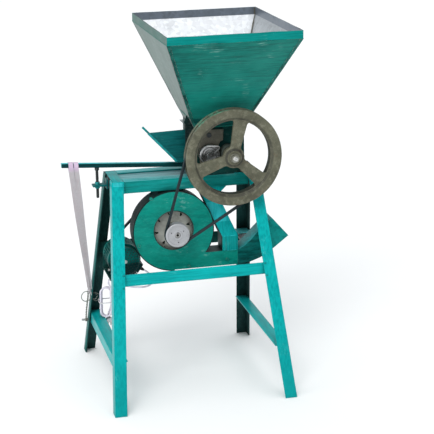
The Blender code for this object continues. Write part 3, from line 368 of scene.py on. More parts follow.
TEAL, TEAL_D, TEAL_L = (0.002, 0.365, 0.365), (0.001, 0.255, 0.262), (0.006, 0.470, 0.465)
GREEN, GREEN_D, GREEN_L = (0.003, 0.158, 0.125), (0.002, 0.088, 0.072), (0.022, 0.245, 0.195)
LOW = (0.0, 0.36, 0.90, (0.002, 0.235, 0.238))
BARE = (0.16, 0.20, 0.18)
M = {
    "teal_z": paint("teal_brushed_up", TEAL, TEAL_D, TEAL_L, (170, 170, 9), 0.30, low_z=LOW, bare=BARE),
    "teal_x": paint("teal_brushed_across", TEAL, TEAL_D, TEAL_L, (9, 170, 170), 0.30, bare=BARE),
    "teal_y": paint("teal_brushed_back", TEAL, TEAL_D, TEAL_L, (170, 9, 170), 0.30, bare=BARE),
    "rail_front": paint("teal_top_rail_shaded", (0.003, 0.235, 0.215), (0.002, 0.150, 0.138), (0.012, 0.33, 0.31), (9, 170, 170), 0.30, bare=BARE),
    # near black copy of the frame's teal: painted shade on the rear legs and on the left top rail's left face
    "rear_leg": paint("rear_leg_painted_shade", (0.008, 0.030, 0.027), (0.003, 0.010, 0.010), (0.030, 0.085, 0.075), (150, 150, 9), 0.42, dust_and_shade_amount=0.7, bare=(0.10, 0.12, 0.11)),
    "green_x": paint("green_brushed_across", GREEN, GREEN_D, GREEN_L, (10, 10, 190), 0.36, wear=0.7, scuff=0.55),
    "hopper_paint": paint("green_hopper", GREEN, GREEN_D, GREEN_L, (10, 10, 190), 0.34, wear=0.7, scuff=0.8, low_z=(0.93, 1.12, 0.75, (0.010, 0.245, 0.200))),
    "band": paint("green_rim_band", (0.001, 0.225, 0.202), (0.001, 0.165, 0.150), (0.008, 0.30, 0.27), (10, 10, 190), 0.30, wear=0.8),
    # the hopper's left sheet lightened to grey-green: painted light from the left
    "left_panel": paint("green_left_painted_light", (0.150, 0.205, 0.188), (0.100, 0.150, 0.135), (0.205, 0.265, 0.248), (60, 12, 14), 0.42, wear=0.4, scuff=0.3, dust_and_shade_amount=0.35, sheen=(0.8, 1.0, 1.0, 1.0)),
    "disc": paint("green_fan", (0.002, 0.232, 0.180), (0.002, 0.170, 0.135), (0.020, 0.31, 0.245), (26, 26, 70), 0.34, scuff=0.6, wear=0.9, bare=(0.20, 0.22, 0.17)),
    "tray": paint("dark_teal_tray", (0.003, 0.098, 0.100), (0.002, 0.052, 0.058), (0.014, 0.150, 0.150), (12, 12, 150), 0.36, bare=(0.22, 0.38, 0.34)),
    "dark": paint("dark_green", (0.003, 0.034, 0.028), (0.002, 0.014, 0.012), (0.010, 0.070, 0.060), (40, 40, 120), 0.42, dust_and_shade_amount=0.7),
    # near black: painted shade on the chamber's left plate and the fan casing's wall, and the colour of the casing's
    # rolled edge
    "black": paint("black_paint_and_shade", (0.006, 0.009, 0.009), (0.003, 0.004, 0.004), (0.020, 0.030, 0.030), (30, 30, 140), 0.40, wear=0.5, bare=(0.06, 0.09, 0.08)),
    "plate": paint("table_paint", (0.175, 0.400, 0.430), (0.095, 0.280, 0.305), (0.36, 0.58, 0.61), (8, 60, 60), 0.30, dust_and_shade_amount=0.5),
    # motor: below z 0.436 the paint runs to near black, painted shade on the underside of its round body
    "motor": paint("motor_green", (0.003, 0.120, 0.105), (0.002, 0.070, 0.062), (0.012, 0.175, 0.155), (90, 12, 90), 0.34, dust_and_shade_amount=0.65, low_z=(0.400, 0.436, 1.9, (0.002, 0.010, 0.010)), bare=(0.06, 0.10, 0.09)),
    "wheel": cast_iron("wheel_iron", (0.128, 0.128, 0.084), (0.060, 0.060, 0.037), (0.210, 0.207, 0.146)),
    "wheel_edge": cast_iron("wheel_edge_iron", (0.128, 0.128, 0.084), (0.060, 0.060, 0.037), (0.21, 0.207, 0.146), (((MAIN[0] + SHIFT - 0.075), MAIN[1] + 0.140, 0.085), (0.10, 0.40, 0.26))),
    "wheel_inner": cast_iron("wheel_inner_painted_shade", (0.050, 0.050, 0.034), (0.020, 0.020, 0.014), (0.090, 0.088, 0.062)),
    "nut": bright_metal("dull_nut", (0.36, 0.36, 0.30), 0.36, 0.8, oil_and_corner_shade=0.7),
    "screw_dark": bright_metal("blackened_screw", (0.040, 0.048, 0.050), 0.40, 0.7, oil_and_corner_shade=0.6),
    "iron": cast_iron("grey_iron", (0.120, 0.115, 0.085), (0.060, 0.058, 0.044), (0.190, 0.182, 0.140)),
    "iron_green": cast_iron("iron_overpainted", (0.075, 0.105, 0.085), (0.030, 0.045, 0.038), (0.13, 0.17, 0.14)),
    "galv": galvanised("zinc_sheet"),
    "galv_disc": galvanised("zinc_impeller", (0.36, 0.37, 0.335), 0.75, 0.46, (0.085, 0.085, 0.060), 0.25),
    "lever_front": paint("lever_shaded", (0.002, 0.030, 0.034), (0.001, 0.010, 0.012), (0.006, 0.090, 0.092), (9, 170, 170), 0.42, bare=(0.05, 0.09, 0.09)),
    # bright teal copy of the frame paint: painted light on lit faces of the lever, the chute and the beads
    "teal_bright": paint("teal_painted_light", (0.030, 0.500, 0.540), (0.003, 0.330, 0.340), (0.05, 0.60, 0.62), (60, 60, 14), 0.26, dust_and_shade_amount=0.25, bare=BARE),
    "elbow": paint("elbow_painted_shadow", (0.002, 0.125, 0.115), (0.001, 0.045, 0.042), (0.010, 0.185, 0.172), (20, 20, 90), 0.36, dust_and_shade_amount=0.6),
    "chute_low": paint("chute_low_painted_shade", (0.002, 0.300, 0.290), (0.001, 0.200, 0.195), (0.010, 0.40, 0.39), (170, 170, 9), 0.30, bare=BARE),
    "outlet_end": paint("outlet_end_paint", (0.002, 0.205, 0.185), (0.001, 0.130, 0.118), (0.010, 0.28, 0.26), (60, 60, 60), 0.32, wear=0.8),
    # dark teal copy for the rear legs' left-facing flange: painted light
    "leg_side": paint("leg_side_painted_light", (0.004, 0.120, 0.108), (0.002, 0.060, 0.055), (0.012, 0.185, 0.170), (150, 150, 9), 0.38, dust_and_shade_amount=0.5),
    # the hopper's neck below z 0.913 in dark green: painted shade
    "neck": paint("hopper_neck_painted_shade", (0.002, 0.075, 0.062), (0.001, 0.034, 0.030), (0.010, 0.130, 0.110), (10, 10, 190), 0.38, dust_and_shade_amount=0.6),
    "wheel_slope": cast_iron("wheel_slope_painted_shade", (0.080, 0.080, 0.053), (0.035, 0.035, 0.022), (0.140, 0.138, 0.098)),
    "capacitor": plastic("dull_capacitor", (0.110, 0.115, 0.118), 0.42, (0.05, 0.05, 0.045), 0.5),
    "tray_edge": paint("tray_edge_paint", (0.010, 0.255, 0.262), (0.005, 0.160, 0.168), (0.04, 0.36, 0.37), (60, 60, 60), 0.32, wear=0.8),
    "flange": paint("top_flange_painted_light", (0.060, 0.400, 0.410), (0.020, 0.280, 0.290), (0.22, 0.62, 0.64), (9, 120, 120), 0.24, wear=0.9, dust_and_shade_amount=0.4),
    "weld": paint("painted_weld", (0.003, 0.250, 0.250), (0.002, 0.120, 0.125), (0.02, 0.38, 0.38), (90, 90, 90), 0.34, wear=0.7, dust_and_shade_amount=0.5),
    "galv_bright": galvanised("zinc_inside", (0.78, 0.80, 0.83), 0.45, 0.42, (0.34, 0.37, 0.40), 0.35),
    "galv_mottled": galvanised("zinc_inside_stained", (0.48, 0.51, 0.53), 1.0, 0.42, (0.060, 0.062, 0.062), 0.45),
    "steel": bright_metal("drawn_steel", (0.52, 0.52, 0.51), 0.30),
    "zinc": bright_metal("zinc_plated", (0.62, 0.63, 0.62), 0.34),
    "wire": bright_metal("soft_wire", (0.34, 0.35, 0.31), 0.42, oil_and_corner_shade=0.5),
    "alu_fan": bright_metal("turned_aluminium_fan", (0.42, 0.43, 0.45), 0.34, 0.55, centre=FAN),
    "alu_roll": bright_metal("ground_bearing_steel", (0.46, 0.47, 0.47), 0.20, 0.95, oil_and_corner_shade=0.75, centre=ROLL),
    "steel_main": bright_metal("turned_steel_main", (0.60, 0.60, 0.58), 0.28, centre=MAIN),
    "steel_fan": bright_metal("turned_steel_fan", (0.55, 0.55, 0.54), 0.30, centre=FAN),
    "belt": rubber("belt_rubber", (0.003, 0.012, 0.016), (0.010, 0.034, 0.046), 0.60, 0.45),
    "rubber": rubber("roll_rubber", (0.022, 0.020, 0.018), (0.16, 0.13, 0.09), 0.66, 0.6),
    "grommet": rubber("black_moulding", (0.016, 0.016, 0.017), (0.06, 0.06, 0.06), 0.48, 0.3),
    "cable": plastic("white_pvc", (0.74, 0.70, 0.80), 0.36, (0.30, 0.27, 0.32), 0.4),
    "grey": plastic("grey_moulding", (0.30, 0.31, 0.31), 0.42, (0.10, 0.09, 0.08), 0.4),
    "plug": plastic("ivory_moulding", (0.62, 0.60, 0.62), 0.36, (0.20, 0.18, 0.16), 0.35),
    "dark_hole": rubber("recess_painted_shade", (0.006, 0.006, 0.006), (0.02, 0.02, 0.02), 0.8, 0.2),
}


def elastic_material():
    """Stretched latex strip: pale pink, letting some light through, with fine lengthways lines."""
    n = Nodes("pink_elastic")
    lines = n.noise(1.0, 4.0, 0.6, n.mapped((900, 900, 14)))
    wide = n.noise(22.0, 4.0, 0.6)
    colour = n.mix(n.ramp(lines, 0.35, 0.65), (0.42, 0.385, 0.405), (0.54, 0.505, 0.525))
    colour = n.mix(n.math("MULTIPLY", n.ramp(wide, 0.5, 0.75), 0.4), colour, (0.36, 0.32, 0.34))
    colour = n.mix(n.math("MULTIPLY", n.ramp(n.axis(2), 0.738, 0.760), 0.60), colour, (0.68, 0.47, 0.70))
    return n.finish(
        colour, n.ramp(wide, 0.3, 0.7, 0.42, 0.58), lines, 0.0002, 0.5,
        Subsurface_Weight=0.2, Subsurface_Radius=(0.006, 0.004, 0.004), Subsurface_Scale=1.0, Specular_IOR_Level=0.4,
    )


M["elastic"] = elastic_material()


def floor_material():
    n = Nodes("floor_paper")
    colour = n.mix(n.noise(3.0, 3.0), (0.90, 0.905, 0.91), (0.93, 0.93, 0.93))
    return n.finish(colour, n.ramp(n.noise(90.0, 3.0), 0.3, 0.7, 0.75, 0.85), n.noise(700.0, 2.0), 0.0002, 0.3, Specular_IOR_Level=0.2)


bm = bmesh.new()
bmesh.ops.create_grid(bm, x_segments=8, y_segments=8, size=30.0)
floor_mesh = bpy.data.meshes.new("floor")
bm.to_mesh(floor_mesh)
bm.free()
floor_mesh.materials.append(floor_material())
floor = bpy.data.objects.new("floor", floor_mesh)
floor.location = (0, 12.0, 0)
scene.collection.objects.link(floor)


# ------------------------------------------------------------------ mesh helpers
def make(name, bm, materials, body="stand", smooth=35, moved=True, replaces=(), bevel=0.0, segments=2):
    """A piece from a bmesh: shifted to the row frame, shaded, riding on its body."""
    if moved:
        bmesh.ops.translate(bm, verts=bm.verts, vec=(SHIFT, 0, 0))
    mesh = bpy.data.meshes.new(name)
    bm.to_mesh(mesh)
    bm.free()
    for material in materials if isinstance(materials, (list, tuple)) else [materials]:
        mesh.materials.append(M[material] if isinstance(material, str) else material)
    obj = bpy.data.objects.new(name, mesh)
    scene.collection.objects.link(obj)
    if bevel:
        mesh.shade_smooth()
        soften(obj, bevel, segments)
    else:
        mesh.shade_smooth()
        mesh.set_sharp_from_angle(angle=math.radians(smooth))
    if body:
        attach(obj, body)
    if replaces:
        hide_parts(*replaces)
    return obj


def soften(obj, width, segments=2, angle=30):
    m = obj.modifiers.new("soften", "BEVEL")
    m.width, m.segments, m.limit_method, m.angle_limit = width, segments, "ANGLE", math.radians(angle)
    m.use_clamp_overlap = True
    m.harden_normals = True
    m.miter_outer = "MITER_ARC"
    return m


NODE_BODY = {}
for body_name, members in (RECORD.get("behaviour") or {}).get("bodies", {}).items():
    for member in members:
        NODE_BODY[member] = body_name
NODE_SLOT = {row["node"]: row["material_slot"] for row in RECORD["subparts"]}


def rebuilt(node, materials, bevel, segments=2, pick=None, name=None, dissolve=True):
    """A CAD node's own solid with its facets merged and its edges rounded. pick(face) gives a face's material index."""
    bm = bmesh.new()
    bm.from_mesh(NODES[node].data)
    bmesh.ops.remove_doubles(bm, verts=bm.verts, dist=2e-6)
    if dissolve:
        bmesh.ops.dissolve_limit(bm, angle_limit=math.radians(0.6), verts=bm.verts, edges=bm.edges)
    bmesh.ops.recalc_face_normals(bm, faces=bm.faces)
    if pick:
        for face in bm.faces:
            face.material_index = pick(face)
    return make(
        name or node + ".skin", bm, materials, NODE_BODY.get(node, "stand"), moved=False,
        replaces=(node,), bevel=bevel, segments=segments,
    )


def revolve(bm, profile, centre, steps=72, axis="Y", closed=False, groove=None):
    """Adds a turned shape to bm. profile is (radius, along) pairs; a radius of 0 closes on the axis."""
    rings = []
    for r, a in profile:
        ring_verts = []
        if r < 1e-7:
            ring_verts = [bm.verts.new(to_axis(0, 0, a, centre, axis))]
        else:
            for i in range(steps):
                t = 2 * math.pi * i / steps
                rr = r if groove is None else groove(r, t, a)
                ring_verts.append(bm.verts.new(to_axis(rr * math.cos(t), rr * math.sin(t), a, centre, axis)))
        rings.append(ring_verts)
    pairs = list(zip(rings, rings[1:])) + ([(rings[-1], rings[0])] if closed else [])
    faces = []
    for one, two in pairs:
        if len(one) == 1 and len(two) == 1:
            continue
        for i in range(steps):
            j = (i + 1) % steps
            if len(one) == 1:
                faces.append(bm.faces.new((one[0], two[j], two[i])))
            elif len(two) == 1:
                faces.append(bm.faces.new((one[i], one[j], two[0])))
            else:
                faces.append(bm.faces.new((one[i], one[j], two[j], two[i])))
    return faces


def to_axis(u, v, a, centre, axis):
    if axis == "Y":
        return (centre[0] + u, a, centre[1] + v)
    if axis == "X":
        return (a, centre[0] + u, centre[1] + v)
    return (centre[0] + u, centre[1] + v, a)


def turned_piece(name, profile, centre, materials, body="stand", closed=False, steps=72, axis="Y", smooth=32, replaces=(), pick=None):
    bm = bmesh.new()
    revolve(bm, profile, centre, steps, axis, closed)
    bmesh.ops.recalc_face_normals(bm, faces=bm.faces)
    if pick:
        for face in bm.faces:
            face.material_index = pick(face)
    return make(name, bm, materials, body, smooth, replaces=replaces)


def prism(bm, outline, low, high, holes=(), normal="Y"):
    """Adds a flat plate with holes between two levels, its faces filled by a triangle fill."""
    def at(p, level):
        if normal == "Y":
            return (p[0], level, p[1])
        if normal == "Z":
            return (p[0], p[1], level)
        return (level, p[0], p[1])

    before = set(bm.faces)
    loops = []
    for loop in [outline, *holes]:
        loops.append(([bm.verts.new(at(p, low)) for p in loop], [bm.verts.new(at(p, high)) for p in loop]))
    for level in (0, 1):
        edges = []
        for pair in loops:
            verts = pair[level]
            for i, v in enumerate(verts):
                edges.append(bm.edges.new((v, verts[(i + 1) % len(verts)])))
        bmesh.ops.triangle_fill(bm, edges=edges, use_beauty=True, use_dissolve=True)
    for lower, upper in loops:
        for i in range(len(lower)):
            j = (i + 1) % len(lower)
            bm.faces.new((lower[i], lower[j], upper[j], upper[i]))
    return [f for f in bm.faces if f not in before]


def circle(centre, radius, steps=48, phase=0.0):
    return [
        (centre[0] + radius * math.cos(phase + 2 * math.pi * i / steps), centre[1] + radius * math.sin(phase + 2 * math.pi * i / steps))
        for i in range(steps)
    ]


def rounded(points, radius, steps=6):
    """A polygon with each corner turned into a short curve; radius is one number, or one for each corner."""
    out = []
    count = len(points)
    for i, p in enumerate(points):
        r = radius[i] if isinstance(radius, (list, tuple)) else radius
        a, b, c = Vector(points[i - 1]), Vector(p), Vector(points[(i + 1) % count])
        if r <= 0:
            out.append(tuple(b))
            continue
        da, dc = a - b, c - b
        cut = min(r, da.length * 0.49, dc.length * 0.49)
        start, end = b + da.normalized() * cut, b + dc.normalized() * cut
        for k in range(steps + 1):
            t = k / steps
            out.append(tuple((1 - t) ** 2 * start + 2 * t * (1 - t) * b + t * t * end))
    return out


def frame_along(points, cyclic=False):
    """(tangent, normal, side) at each point, turning as little as possible."""
    pts = [Vector(p) for p in points]
    count = len(pts)
    tangents = []
    for i in range(count):
        a = pts[(i - 1) % count] if cyclic or i else pts[0]
        b = pts[(i + 1) % count] if cyclic or i < count - 1 else pts[-1]
        tangents.append((b - a).normalized())
    guide = Vector((0, 0, 1)) if abs(tangents[0].z) < 0.9 else Vector((1, 0, 0))
    normal = (guide - tangents[0] * guide.dot(tangents[0])).normalized()
    out = []
    for t in tangents:
        normal = (normal - t * normal.dot(t)).normalized()
        out.append((t, normal, t.cross(normal)))
    return pts, out


def tube(bm, points, radius, sides=10, cyclic=False, shape=None):
    """Adds a tube; radius is a number or a function of the share along it."""
    pts, frames = frame_along(points, cyclic)
    rings = []
    for i, (p, (t, n, b)) in enumerate(zip(pts, frames)):
        r = radius(i / max(1, len(pts) - 1)) if callable(radius) else radius
        rings.append(
            [bm.verts.new(p + (n * math.cos(2 * math.pi * k / sides) + b * math.sin(2 * math.pi * k / sides)) * r) for k in range(sides)]
        )
    faces = []
    for one, two in list(zip(rings, rings[1:])) + ([(rings[-1], rings[0])] if cyclic else []):
        for k in range(sides):
            j = (k + 1) % sides
            faces.append(bm.faces.new((one[k], one[j], two[j], two[k])))
    if not cyclic:
        faces.append(bm.faces.new(list(reversed(rings[0]))))
        faces.append(bm.faces.new(rings[-1]))
    return faces


def smooth_path(points, count, cyclic=False):
    """Evenly parted points on a Catmull-Rom curve through the given ones."""
    pts = [Vector(p) for p in points]
    ends = [pts[-1], *pts, pts[0], pts[1]] if cyclic else [2 * pts[0] - pts[1], *pts, 2 * pts[-1] - pts[-2]]
    dense = []
    for i in range(len(ends) - 3):
        a, b, c, d = ends[i : i + 4]
        for k in range(24):
            t = k / 24
            dense.append(0.5 * ((2 * b) + (c - a) * t + (2 * a - 5 * b + 4 * c - d) * t * t + (3 * b - a - 3 * c + d) * t**3))
    dense.append(dense[0] if cyclic else pts[-1])
    lengths = [0.0]
    for p, q in zip(dense, dense[1:]):
        lengths.append(lengths[-1] + (q - p).length)
    out, k = [], 0
    for i in range(count):
        want = lengths[-1] * i / (count if cyclic else count - 1)
        while k < len(lengths) - 2 and lengths[k + 1] < want:
            k += 1
        span = lengths[k + 1] - lengths[k]
        out.append(dense[k].lerp(dense[k + 1], (want - lengths[k]) / span if span else 0))
    return out


def weld_bead(bm, a, b, radius=0.0028, seed=0, wander=0.0006):
    """A scalloped weld between two points."""
    a, b = Vector(a), Vector(b)
    length = (b - a).length
    count = max(6, int(length / 0.0014))
    ripples = length / 0.0034
    pts = []
    for i in range(count + 1):
        t = i / count
        jitter = Vector((noise.noise(Vector((t * 9, seed, 0))), noise.noise(Vector((t * 9, seed, 5))), noise.noise(Vector((t * 9, seed, 9)))))
        pts.append(a.lerp(b, t) + jitter * wander)
    def size(t):
        ends = min(1.0, 6 * t + 0.35, 6 * (1 - t) + 0.35)
        return radius * ends * (0.86 + 0.16 * abs(math.sin(math.pi * ripples * t)) + 0.14 * noise.noise(Vector((t * 14, seed, 3))))
    tube(bm, pts, size, 8)


def hex_bolt(bm, place, direction, across=0.010, height=0.0042, washer=0.0, stem=0.0, stem_r=None, turn=0.3):
    """Adds a chamfered hex head (across the flats), with a washer and a bare thread end if asked."""
    direction = Vector(direction).normalized()
    rot = Vector((0, 0, 1)).rotation_difference(direction).to_matrix().to_4x4()
    mat = Matrix.Translation(Vector(place)) @ rot
    corner = across / math.sqrt(3)
    base = 0.0
    new = []

    def layer(radius_of, z, steps):
        return [bm.verts.new(mat @ Vector((radius_of(k) * math.cos(turn + 2 * math.pi * k / steps), radius_of(k) * math.sin(turn + 2 * math.pi * k / steps), z))) for k in range(steps)]

    def stack(layers):
        for one, two in zip(layers, layers[1:]):
            for k in range(len(one)):
                j = (k + 1) % len(one)
                new.append(bm.faces.new((one[k], one[j], two[j], two[k])))
        new.append(bm.faces.new(list(reversed(layers[0]))))
        new.append(bm.faces.new(layers[-1]))

    if washer:
        stack([layer(lambda k: washer, 0.0, 28), layer(lambda k: washer, 0.0011, 28), layer(lambda k: washer - 0.0004, 0.0014, 28)])
        base = 0.0014
    flat_r = across / 2
    def head(k, limit):
        a = (2 * math.pi * k / 24) % (math.pi / 3) - math.pi / 6
        return min(flat_r / math.cos(a), limit)
    stack([
        layer(lambda k: head(k, corner), base, 24), layer(lambda k: head(k, corner), base + height * 0.84, 24),
        layer(lambda k: head(k, flat_r * 1.03), base + height, 24), layer(lambda k: flat_r * 0.62, base + height * 1.0, 24),
    ])
    if stem:
        r = stem_r or across * 0.30
        z, layers = base + height * 0.9, []
        turns = int(stem / 0.0012)
        for i in range(turns * 2 + 1):
            layers.append(layer(lambda k, i=i: r * (1.0 if i % 2 else 0.90), z + i * 0.0006, 16))
        stack(layers)
    return new


def jagged_strip(bm, a, b, inward, normal, width, thickness, seed, steps=60, rough=0.0012):
    """A thin hand-cut flange lying on a surface along a-b, reaching inward with an uneven edge."""
    a, b, inward, normal = Vector(a), Vector(b), Vector(inward).normalized(), Vector(normal).normalized()
    rows = []
    for i in range(steps + 1):
        t = i / steps
        p = a.lerp(b, t)
        w = width * (1 + 0.10 * noise.noise(Vector((t * 5, seed, 1)))) + rough * noise.noise(Vector((t * 31, seed, 7)))
        lift = thickness * (1 + 0.35 * noise.noise(Vector((t * 12, seed, 4))))
        rows.append([
            bm.verts.new(p), bm.verts.new(p + normal * lift), bm.verts.new(p + inward * w + normal * lift * 0.8), bm.verts.new(p + inward * w)
        ])
    for one, two in zip(rows, rows[1:]):
        for k in range(4):
            j = (k + 1) % 4
            bm.faces.new((one[k], one[j], two[j], two[k]))
    bm.faces.new(list(reversed(rows[0])))
    bm.faces.new(rows[-1])


# ------------------------------------------------------------------ frame: angle iron, rails, braces, plate
for node in ("leg_front_left", "leg_front_right"):
    rebuilt(node, "teal_z", 0.0011, 3)
# rear legs: the frame's teal drawn as painted shade in near black, with a dark teal copy on the left flange's outer
# face as painted light
for node in ("leg_rear_left", "leg_rear_right"):
    rebuilt(node, ["rear_leg", "leg_side"], 0.0011, 3, pick=lambda f: 1 if f.normal.x < -0.5 and f.calc_center_median().x < 0 else 0)
# top faces of the top rails in a lighter bluish teal as painted light; the front rail's other faces in a darker teal as
# painted shade
rebuilt("rail_top_front", ["rail_front", "flange"], 0.0010, 3, pick=lambda f: 1 if f.normal.z > 0.5 else 0)
rebuilt("rail_top_rear", ["teal_x", "flange"], 0.0010, 3, pick=lambda f: 1 if f.normal.z > 0.5 else 0)
# the left rail's left-facing faces take the rear legs' near black, as painted shade
rebuilt("rail_top_left", ["teal_y", "rear_leg"], 0.0010, 3, pick=lambda f: 1 if f.normal.x < -0.5 else 0)
rebuilt("rail_top_right", "teal_y", 0.0010, 3)
rebuilt("rail_low_front", "teal_x", 0.0010, 3)
# the rear low rail in dark green: painted shade
rebuilt("rail_low_rear", "dark", 0.0008, 2)
rebuilt("brace_left", "teal_y", 0.0010, 3)
rebuilt("brace_right", "teal_y", 0.0010, 3)
rebuilt("table_plate", "plate", 0.0005, 2)
rebuilt("motor_bracket", "dark", 0.0007, 2)
rebuilt("stop_bracket", "tray", 0.0006, 2)
# lever: top faces bright teal as painted light, front and under faces near black as painted shade
lever_obj = rebuilt("lever", ["teal_bright", "lever_front"], 0.0010, 3, pick=lambda f: 1 if (f.normal.y < -0.5 or f.normal.z < -0.5) else 0)
rebuilt("arm_front", "iron", 0.0014, 3)
rebuilt("arm_rear", "iron", 0.0014, 3)

# ------------------------------------------------------------------ roll chamber, trays and ducts
rebuilt("chamber_front", "dark", 0.0006, 2)
rebuilt("chamber_rear", "green_x", 0.0006, 2)
# the chamber's left plate near black: painted shade
rebuilt("chamber_left", "black", 0.0006, 2)
rebuilt("chamber_right", "green_x", 0.0006, 2)
rebuilt("side_tray", "tray", 0.0006, 2)
# chute faces: left faces near black as painted shade, the upper front facet bright teal as painted light, the low box a
# darker teal as painted shade
def chute_face(face):
    c, nrm = face.calc_center_median(), face.normal
    if nrm.x < -0.5:
        return 1
    if nrm.y < -0.4 and 0.560 < c.z < 0.628:
        return 2
    return 3 if c.z < 0.515 else 0


rebuilt("drop_chute", ["teal_z", "dark", "teal_bright", "chute_low"], 0.0006, 2, pick=chute_face)
# outlet faces: upward faces in the lighter teal as painted light; the elbow left of x 0.245 in dark green as painted
# shadow of the front right leg
def outlet_face(face):
    c, nrm = face.calc_center_median(), face.normal
    if nrm.z > 0.35 or (nrm.z > 0.1 and nrm.x < -0.3):
        return 2
    if c.x - SHIFT < 0.245:
        return 1
    return 0


rebuilt("outlet_duct", ["outlet_end", "elbow", "tray_edge"], 0.0006, 2, pick=outlet_face)
rebuilt("feed_gate", ["galv", "dark"], 0.0004, 2, pick=lambda f: 1 if f.calc_center_median().x - SHIFT < 0.022 else 0)
rebuilt("fan_hanger", "dark", 0.0008, 2)


def duct_outline(inset, steps=112):
    radius, cz, top = 0.134 - inset, FAN[1] - 0.003, 0.460 - inset
    meet = math.asin((top - cz) / radius)
    end = 0.165
    pts = [(end, cz - radius)]
    sweep = 3 * math.pi / 2 - (meet + math.pi / 2) + math.pi / 2
    for i in range(steps + 1):
        a = -math.pi / 2 - i / steps * sweep
        pts.append((FAN[0] + radius * math.cos(a), cz + radius * math.sin(a)))
    pts.append((end, top))
    return pts


bm = bmesh.new()
prism(bm, duct_outline(0.0), -0.1000, -0.0980, [circle(FAN, 0.0650, 96)])
bmesh.ops.recalc_face_normals(bm, faces=bm.faces)
make("fan_front.skin", bm, "disc", replaces=("fan_front",), bevel=0.0005, segments=2)

# the casing's wall and back
bm = bmesh.new()
outer, inner = duct_outline(0.0), duct_outline(0.002)
inner[0], inner[-1] = (0.165, inner[0][1]), (0.165, inner[-1][1])
y_front, y_back = -0.0977, -0.0300
loops = []
for line, y in ((outer, y_front), (outer, y_back), (inner, y_back - 0.002), (inner, y_front)):
    loops.append([bm.verts.new((p[0], y, p[1])) for p in line])
for one, two in ((loops[0], loops[1]), (loops[2], loops[3]), (loops[3], loops[0])):
    for k in range(len(one) - 1):
        bm.faces.new((one[k], one[k + 1], two[k + 1], two[k]))
for line in (loops[1], loops[2]):
    edges = [bm.edges.get((line[k], line[k + 1])) or bm.edges.new((line[k], line[k + 1])) for k in range(len(line) - 1)]
    edges.append(bm.edges.new((line[-1], line[0])))
    bmesh.ops.triangle_fill(bm, edges=edges, use_beauty=True, use_dissolve=True)
bm.faces.new((loops[1][-1], loops[1][0], loops[2][0], loops[2][-1]))
for end in (0, -1):
    bm.faces.new((loops[0][end], loops[1][end], loops[2][end], loops[3][end]))
bmesh.ops.recalc_face_normals(bm, faces=bm.faces)
# the casing's wall near black and its inside dark green: painted shade
for face in bm.faces:
    c = face.calc_center_median()
    face.material_index = 1 if math.hypot(c.x - FAN[0], c.z - FAN[1] + 0.003) < 0.1335 and c.y < y_back - 0.001 and c.x < 0.10 else 0
make("fan_scroll.skin", bm, ["black", "dark"], smooth=30, replaces=("fan_scroll",))
bm = bmesh.new()
revolve(bm, [(0.0098, -0.0290), (0.0098, -0.0068), (0.0105, -0.0060), (0.0270, -0.0060), (0.0280, -0.0070), (0.0280, -0.0250), (0.0310, -0.0296), (0.0310, -0.0310), (0.0098, -0.0310)], FAN, 64, closed=True)
for k in range(3):
    a = math.radians(90 + 120 * k)
    hex_bolt(bm, (FAN[0] + 0.0215 * math.cos(a), -0.0060, FAN[1] + 0.0215 * math.sin(a)), (0, 1, 0), 0.0055, 0.0028, 0.0042)
make("fan_rear_housing", bm, "iron_green", smooth=28)
bm = bmesh.new()
prism(bm, [(-0.095, 0.6700), (-0.010, 0.6700), (-0.010, 0.7102), (-0.095, 0.7102)], -0.0700, -0.0660)
bmesh.ops.recalc_face_normals(bm, faces=bm.faces)
make("fan_top_bracket", bm, "dark", bevel=0.0007)


# ------------------------------------------------------------------ hopper
HOPPER = [  # z, x0, x1, half width in y
    (1.2150, -0.0980, 0.3380, 0.2800),
    (1.1880, -0.0980, 0.3380, 0.2800),
    (0.9130, 0.0150, 0.2220, 0.0815),
    (0.8800, 0.0300, 0.1945, 0.0780),
]


def hopper_at(z):
    for (za, a0, a1, ah), (zb, b0, b1, bh) in zip(HOPPER, HOPPER[1:]):
        if z >= zb - 1e-9:
            t = 0 if za == zb else (za - z) / (za - zb)
            return a0 + (b0 - a0) * t, a1 + (b1 - a1) * t, ah + (bh - ah) * t
    return HOPPER[-1][1:]


